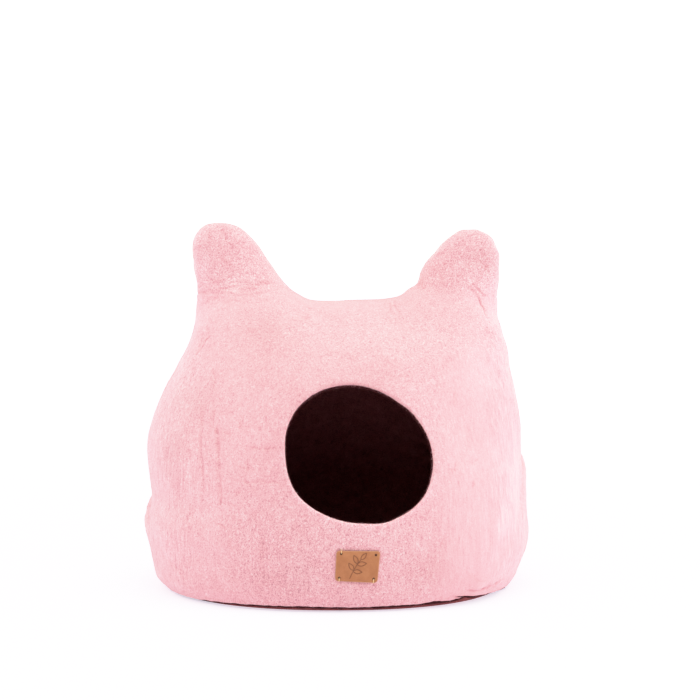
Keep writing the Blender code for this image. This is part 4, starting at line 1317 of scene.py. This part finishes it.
def leather_patch(mat):
    w, h, r = PATCH_WIDE / 2, PATCH_HIGH / 2, PATCH_CORNER
    loops = []
    row = []
    for cx, cy, first in ((w - r, h - r, 0), (r - w, h - r, 90), (r - w, r - h, 180), (w - r, r - h, 270)):
        for k in range(9):
            a = math.radians(first + 11.25 * k)
            row.append((cx + r * math.cos(a), cy + r * math.sin(a)))
        nx, ny = row[-1], None
    # straight sides get points too
    full = []
    for a, b in zip(row, row[1:] + row[:1]):
        gap = math.dist(a, b)
        n = max(1, round(gap / 0.7))
        full.extend((a[0] + (b[0] - a[0]) * k / n, a[1] + (b[1] - a[1]) * k / n) for k in range(n))
    loops.append(full)
    holes = [(sx * (w - side), sy * (h - end)) for (sx, sy), (side, end, _, _) in CORNERS.items()]
    for cx, cy in holes:
        loops.append([(cx + HOLE_RADIUS * math.cos(math.radians(22.5 * k)),
                       cy + HOLE_RADIUS * math.sin(math.radians(22.5 * k))) for k in range(16)])
    lines = sprig()

    def line_distance(q):
        d = np.full(len(q), 1e9)
        for line in lines:
            for a, b in zip(line, line[1:]):
                d = np.minimum(d, segment_distance(q, a, b))
        return d

    def box_distance(q):
        g = np.abs(q) - (w - r, h - r)
        return np.linalg.norm(np.maximum(g, 0), axis=1) + np.minimum(g.max(1), 0) - r

    def hole_distance(q):
        return np.min([np.linalg.norm(q - c, axis=1) for c in holes], axis=0) - HOLE_RADIUS

    def grid(step, shift):
        gx, gy = np.meshgrid(np.arange(-w, w, step), np.arange(-h, h, step * 0.866))
        gx = gx + (np.arange(gx.shape[0]) % 2)[:, None] * step / 2 + shift
        return np.stack([gx.ravel(), gy.ravel()], -1)

    wide, close = grid(0.62, 0.011), grid(0.21, 0.017)
    wide = wide[line_distance(wide) > 1.0]
    close = close[line_distance(close) < 0.92]
    inner = np.vstack([wide, close])
    inner = inner[(box_distance(inner) < -0.28) & (hole_distance(inner) > 0.25)]
    # each hole is a blind pit that the thread comes out of; its darkness is painted shade
    ring = [(0.78 * HOLE_RADIUS * math.cos(a), 0.78 * HOLE_RADIUS * math.sin(a)) for a in np.radians(range(0, 360, 30))]
    inner = np.vstack([inner] + [np.array(c) + np.array([(0.0, 0.0)] + ring) for c in holes])
    points, edges = [], []
    for loop in loops:
        start = len(points)
        points.extend(loop)
        edges.extend((start + k, start + (k + 1) % len(loop)) for k in range(len(loop)))
    fixed = len(points)
    points.extend(map(tuple, inner))
    vs, es, fs = delaunay_2d_cdt([Vector(q) for q in points], edges, [], 0, 1e-7, False)[:3]
    q = np.array([v[:] for v in vs])
    tris = np.array([f[:] for f in fs])
    middle = q[tris].mean(1)
    tris = tris[box_distance(middle) < 0]
    area = np.cross(q[tris[:, 1]] - q[tris[:, 0]], q[tris[:, 2]] - q[tris[:, 0]])
    tris = tris[np.abs(area) > 1e-9]
    area = np.cross(q[tris[:, 1]] - q[tris[:, 0]], q[tris[:, 2]] - q[tris[:, 0]])
    tris[area < 0] = tris[area < 0][:, ::-1]
    # top: rounded edges, pressed lines, a dimple at each hole, a slight unevenness
    inset = np.minimum(-box_distance(q), np.abs(hole_distance(q)) * 1.6)
    drop = 0.42 * (1 - np.sqrt(np.clip(1 - (1 - np.clip(inset / 0.6, 0, 1)) ** 2, 0, 1)))
    d = line_distance(q)
    mark = np.exp(-(d / 0.44) ** 2)
    hole = np.exp(-(np.clip(hole_distance(q), 0, None) / 0.35) ** 2)
    flat3 = np.stack([q[:, 0], np.zeros(len(q)), q[:, 1]], -1)
    top = (PATCH_THICK - drop - 0.30 * mark + 0.05 * np.exp(-((d - 0.75) / 0.25) ** 2)
           - 0.22 * np.exp(-(np.clip(hole_distance(q), 0, None) / 1.2) ** 2) + 0.05 * waves(flat3, 12, 16, 51))
    top[hole_distance(q) < -0.1] = 0.2
    bottom = np.full(len(q), 0.0) + 0.10 * np.exp(-(np.clip(inset, 0, None) / 0.35) ** 2)
    n = len(q)
    used = np.zeros(n, bool)
    used[tris.ravel()] = True
    # loose boundary edges, walked from the triangles themselves
    seen_edges = {}
    for a, b, c in tris:
        for e in ((a, b), (b, c), (c, a)):
            seen_edges[e] = True
    border = [e for e in seen_edges if (e[1], e[0]) not in seen_edges]
    faces = [tuple(int(v) for v in t) for t in tris]
    faces += [tuple(int(v) + n for v in t[::-1]) for t in tris]
    mids = {}
    extra = []
    for a, b in border:                 # one ring half way down the cut edge
        for v in (a, b):
            if v not in mids:
                mids[v] = 2 * n + len(extra)
                extra.append(v)
        faces.append((int(b), int(a), mids[a], mids[b]))
        faces.append((mids[b], mids[a], int(a) + n, int(b) + n))
    extra = np.array(extra)
    flat = np.vstack([q, q, q[extra]])
    lift = np.concatenate([top, bottom, (top[extra] * 0.5 + bottom[extra] * 0.5)])
    # the edge bulges a little at half thickness
    grow = q[extra] - 0.0
    g = np.stack([box_distance(grow + (0.05, 0)) - box_distance(grow - (0.05, 0)),
                  box_distance(grow + (0, 0.05)) - box_distance(grow - (0, 0.05))], -1)
    g /= np.maximum(np.linalg.norm(g, axis=1), 1e-9)[:, None]
    outside = (np.abs(box_distance(grow)) < 0.05)[:, None]
    flat[2 * n:] += np.where(outside, g * 0.07, 0)
    t = math.radians(PATCH_TURN)
    u, v = pulled(flat[:, 0], flat[:, 1])
    x = PATCH_X + u * math.cos(t) - v * math.sin(t)
    z = PATCH_Z + u * math.sin(t) + v * math.cos(t)
    on_wall = np.stack([x, wall_y(x, z), z], -1)
    p = on_wall + outward(on_wall) * (PATCH_GAP + lift)[:, None]
    keep = np.concatenate([used, used, np.ones(len(extra), bool)])
    index = np.cumsum(keep) - 1
    faces = [tuple(int(index[v]) for v in f) for f in faces]
    ob = mesh_object("tan_patch", (p[keep] * MM).tolist(), faces, mat)
    # painted highlight where the patch's edges and hole rims catch light
    edge_highlight_share = np.exp(-(np.clip(inset, 0, None) / 0.55) ** 2)
    # the mark attribute holds the sprig's pressed lines and the painted shade in each hole pit
    for name, top_value, low_value, mid_value in (
            ("mark", np.maximum(0.85 * mark, 1.25 * hole), 0 * mark, np.zeros(len(extra))),
            ("edge_highlight", edge_highlight_share * (1 - 0.0), 0 * edge_highlight_share, np.zeros(len(extra))),
            ("side", 0 * edge_highlight_share, np.ones(n), np.ones(len(extra)))):
        value = np.concatenate([top_value, low_value, mid_value])[keep]
        ob.data.attributes.new(name, "FLOAT", "POINT").data.foreach_set("value", value)
    ob.data.set_sharp_from_angle(angle=math.radians(55))
    return ob


def patch_point(u, v, lift):
    t = math.radians(PATCH_TURN)
    u, v = pulled(u, v)
    x = PATCH_X + u * math.cos(t) - v * math.sin(t)
    z = PATCH_Z + u * math.sin(t) + v * math.cos(t)
    on_wall = np.stack([x, wall_y(x, z), z], -1)
    return on_wall + outward(on_wall) * np.asarray(lift)[:, None]


def tube(line, radius, sides=8):
    """A closed round tube along a line: vertices and faces."""
    t = np.gradient(line, axis=0)
    t /= np.linalg.norm(t, axis=1)[:, None]
    up = np.array((0.3, -1.0, 0.2))
    frame_u = np.cross(t, up)
    frame_u /= np.linalg.norm(frame_u, axis=1)[:, None]
    frame_v = np.cross(t, frame_u)
    a = np.arange(sides) / sides * 2 * math.pi
    size = np.full(len(line), radius)
    size[0] = size[-1] = radius * 0.55
    rings = (line[:, None] + size[:, None, None] * (frame_u[:, None] * np.cos(a)[None, :, None]
                                                    + frame_v[:, None] * np.sin(a)[None, :, None]))
    verts = [tuple(v) for ring in rings for v in ring] + [tuple(line[0]), tuple(line[-1])]
    faces = []
    for k in range(len(line) - 1):
        for j in range(sides):
            i = (j + 1) % sides
            faces.append((k * sides + j, k * sides + i, (k + 1) * sides + i, (k + 1) * sides + j))
    end = len(line) * sides
    for j in range(sides):
        i = (j + 1) % sides
        faces.append((end, i, j))
        faces.append((end + 1, end - sides + j, end - sides + i))
    return verts, faces


def stitches(mat):
    """At each corner a doubled thread comes out of its hole and goes over the nearest long edge."""
    out = []
    w, h = PATCH_WIDE / 2, PATCH_HIGH / 2
    # which hole, and where the thread goes into the felt beyond the edge
    ways = (("upper_left", (-1, 1), (-0.1, 1.0)), ("upper_right", (1, 1), (0.2, 0.0)),
            ("lower_left", (-1, -1), (0.0, -0.35)), ("lower_right", (1, -1), (-0.2, -0.3)))
    for name, (sx, sy), (du, dv) in ways:
        side, end = CORNERS[sx, sy][:2]
        u0, v0 = sx * (w - side) + 0.1, sy * (h - end) + sy * 0.52
        if name == "upper_right":       # this one has sunk into its hole
            stations = [(u0, v0, -0.7), (u0, v0, -0.5), (u0, v0 - 0.05, -0.2), (u0 + 0.05, v0 - 0.3, 0.0),
                        (u0 + 0.05, v0 - 0.6, -0.2), (u0, v0 - 0.62, -0.5), (u0, v0 - 0.62, -0.7)]
        else:
            face = PATCH_GAP + PATCH_THICK
            stations = [(u0, v0, -0.5), (u0, v0 + sy * 0.02, 0.7), (u0 + du * .05, v0 + sy * 0.2, 1.55),
                        (u0 + du * .3, v0 + sy * 0.75, face + 0.12),
                        (u0 + du * .6, sy * (h - 0.9), face + 0.14),
                        (u0 + du * .85, sy * (h - 0.05), face - 0.05),
                        (u0 + du, sy * (h + 0.25), 0.8), (u0 + du, sy * h + dv, 0.0),
                        (u0 + du, sy * h + dv, -0.8)]
        s = np.array(stations)
        knots = np.linspace(0, 1, len(s))
        fine = np.linspace(0, 1, 90)
        u, v, lift = (cubic(fine, knots, s[:, k]) for k in range(3))
        core = patch_point(u, v, lift)
        t = np.gradient(core, axis=0)
        step = np.linalg.norm(t, axis=1)
        t /= step[:, None]
        side = np.cross(t, (0.2, -1.0, 0.1))
        side /= np.linalg.norm(side, axis=1)[:, None]
        other = np.cross(t, side)
        turn = np.cumsum(step) / 1.2 * 2 * math.pi
        verts, faces = [], []
        for ply in (0.0, math.pi):
            c, sn = np.cos(turn + ply)[:, None], np.sin(turn + ply)[:, None]
            more, some = tube(core + 0.17 * (side * c + other * sn), 0.24)
            faces.extend(tuple(k + len(verts) for k in f) for f in some)
            verts.extend(more)
        verts = (np.array(verts) * MM).tolist()
        out.append(mesh_object("stitch_" + name, verts, faces, mat))
    return out


# ---------------------------------------------------------------- stage and lights
def area_light(name, place, aim, wide, high, power, colour=(1, 1, 1)):
    data = bpy.data.lights.new(name, "AREA")
    data.shape = "RECTANGLE"
    data.size, data.size_y = wide, high
    data.energy = power
    data.color = colour
    ob = bpy.data.objects.new(name, data)
    ob.location = place
    ob.rotation_euler = (Vector(aim) - Vector(place)).to_track_quat("-Z", "Y").to_euler()
    ob.visible_camera = False
    scene.collection.objects.link(ob)
    return ob


def make_stage():
    size = 60.0
    floor = mesh_object("floor", [(-size, -size, 0), (size, -size, 0), (size, size, 0), (-size, size, 0)],
                        [(0, 1, 2, 3)], floor_material(), False)
    scene.world = studio_world()
    for row in LIGHTS:
        area_light(*row)


def studio_world():
    """White all round to look at; as light it is five broad soft sources."""
    world = bpy.data.worlds.new("studio")
    world.use_nodes = True
    tree = world.node_tree
    back = tree.nodes["Background"]
    link = tree.links.new
    split = tree.nodes.new("ShaderNodeSeparateXYZ")
    link(tree.nodes.new("ShaderNodeTexCoord").outputs["Generated"], split.inputs[0])

    def math_node(op, a, b):
        n = tree.nodes.new("ShaderNodeMath")
        n.operation = op
        for socket, value in ((n.inputs[0], a), (n.inputs[1], b)):
            if isinstance(value, bpy.types.NodeSocket):
                link(value, socket)
            else:
                socket.default_value = value
        return n.outputs[0]

    total = WORLD["all"]
    for name, axis, sign in (("right", 0, 1), ("left", 0, -1), ("front", 1, -1), ("back", 1, 1), ("top", 2, 1)):
        lobe = math_node("MAXIMUM", math_node("MULTIPLY", split.outputs[axis], float(sign)), 0.0)
        total = math_node("ADD", math_node("MULTIPLY", lobe, WORLD[name]), total)
    path = tree.nodes.new("ShaderNodeLightPath")
    pick = tree.nodes.new("ShaderNodeMix")
    link(path.outputs["Is Camera Ray"], pick.inputs[0])
    link(total, pick.inputs[2])
    pick.inputs[3].default_value = 1.8
    back.inputs["Color"].default_value = (1.0, 1.0, 1.0, 1.0)
    link(pick.outputs[0], back.inputs["Strength"])
    return world


WORLD = {"all": 0.07, "right": 0.1, "left": 0.5, "front": 0.0, "back": 0.9, "top": 1.05}
FLOOR_GLOW = 0.63
LIGHTS = (
    # name, place, aim, wide, high, power, colour
    ("overhead", (0.1, -0.6, 2.5), (0.0, 0.0, 0.2), 2.4, 2.0, 31.0, (1.0, 1.0, 1.0)),
    ("right_box", (2.1, -0.3, 0.7), (0.0, 0.0, 0.2), 1.2, 1.3, 23.0, (1.0, 1.0, 1.0)),
    ("left_box", (-2.1, -0.2, 0.7), (0.0, 0.0, 0.2), 1.2, 1.3, 7.4, (1.0, 1.0, 1.0)),
)


def tone_curve():
    """A camera's soft shoulder: the brightest pinks roll off and the floor is white."""
    view = scene.view_settings
    view.view_transform = "Standard"
    view.look = "None"
    view.exposure, view.gamma = 0.0, 1.0
    view.use_curve_mapping = True
    mapping = view.curve_mapping
    mapping.white_level = (1.5, 1.5, 1.5)
    curve = mapping.curves[3]
    points = ((0.0, 0.0), (0.80, 0.80), (0.90, 0.865), (1.0, 0.908), (1.1, 0.938), (1.2, 0.962), (1.32, 0.985), (1.5, 1.0))
    while len(curve.points) < len(points):
        curve.points.new(0.5, 0.5)
    for point, (x, y) in zip(curve.points, points):
        point.location = (x / 1.5, y)
        point.handle_type = "VECTOR"
    mapping.update()


# ---------------------------------------------------------------- build
tone_curve()
CREASES = make_creases()
body = felt_body(CREASES)
body.data.materials.append(felt_material("pink_wool_felt", 0.45))
body.data.materials.append(felt_material("brown_wool_felt", 0.0))
corners = np.empty(len(body.data.loops), np.int32)
body.data.loops.foreach_get("vertex_index", corners)
shades = np.empty(len(body.data.vertices))
body.data.attributes["brown"].data.foreach_get("value", shades)
starts = np.empty(len(body.data.polygons), np.int32)
body.data.polygons.foreach_get("loop_start", starts)
body.data.polygons.foreach_set("material_index", (np.minimum.reduceat(shades[corners], starts) > 0.45).astype(np.int32))
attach(body, "root")
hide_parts("felt_body")

pink_fuzz = fuzz_material("pink_fibres", (0.86, 0.50, 0.53), (0.95, 0.72, 0.73))
brown_fuzz = fuzz_material("brown_fibres", (0.10, 0.028, 0.028), (0.24, 0.085, 0.08))
for piece in make_fuzz(body, pink_fuzz, brown_fuzz):
    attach(piece, "root")

patch = leather_patch(leather_material())
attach(patch, "root")
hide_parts("leather_patch")
for piece in stitches(thread_material()):
    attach(piece, "root")

make_stage()
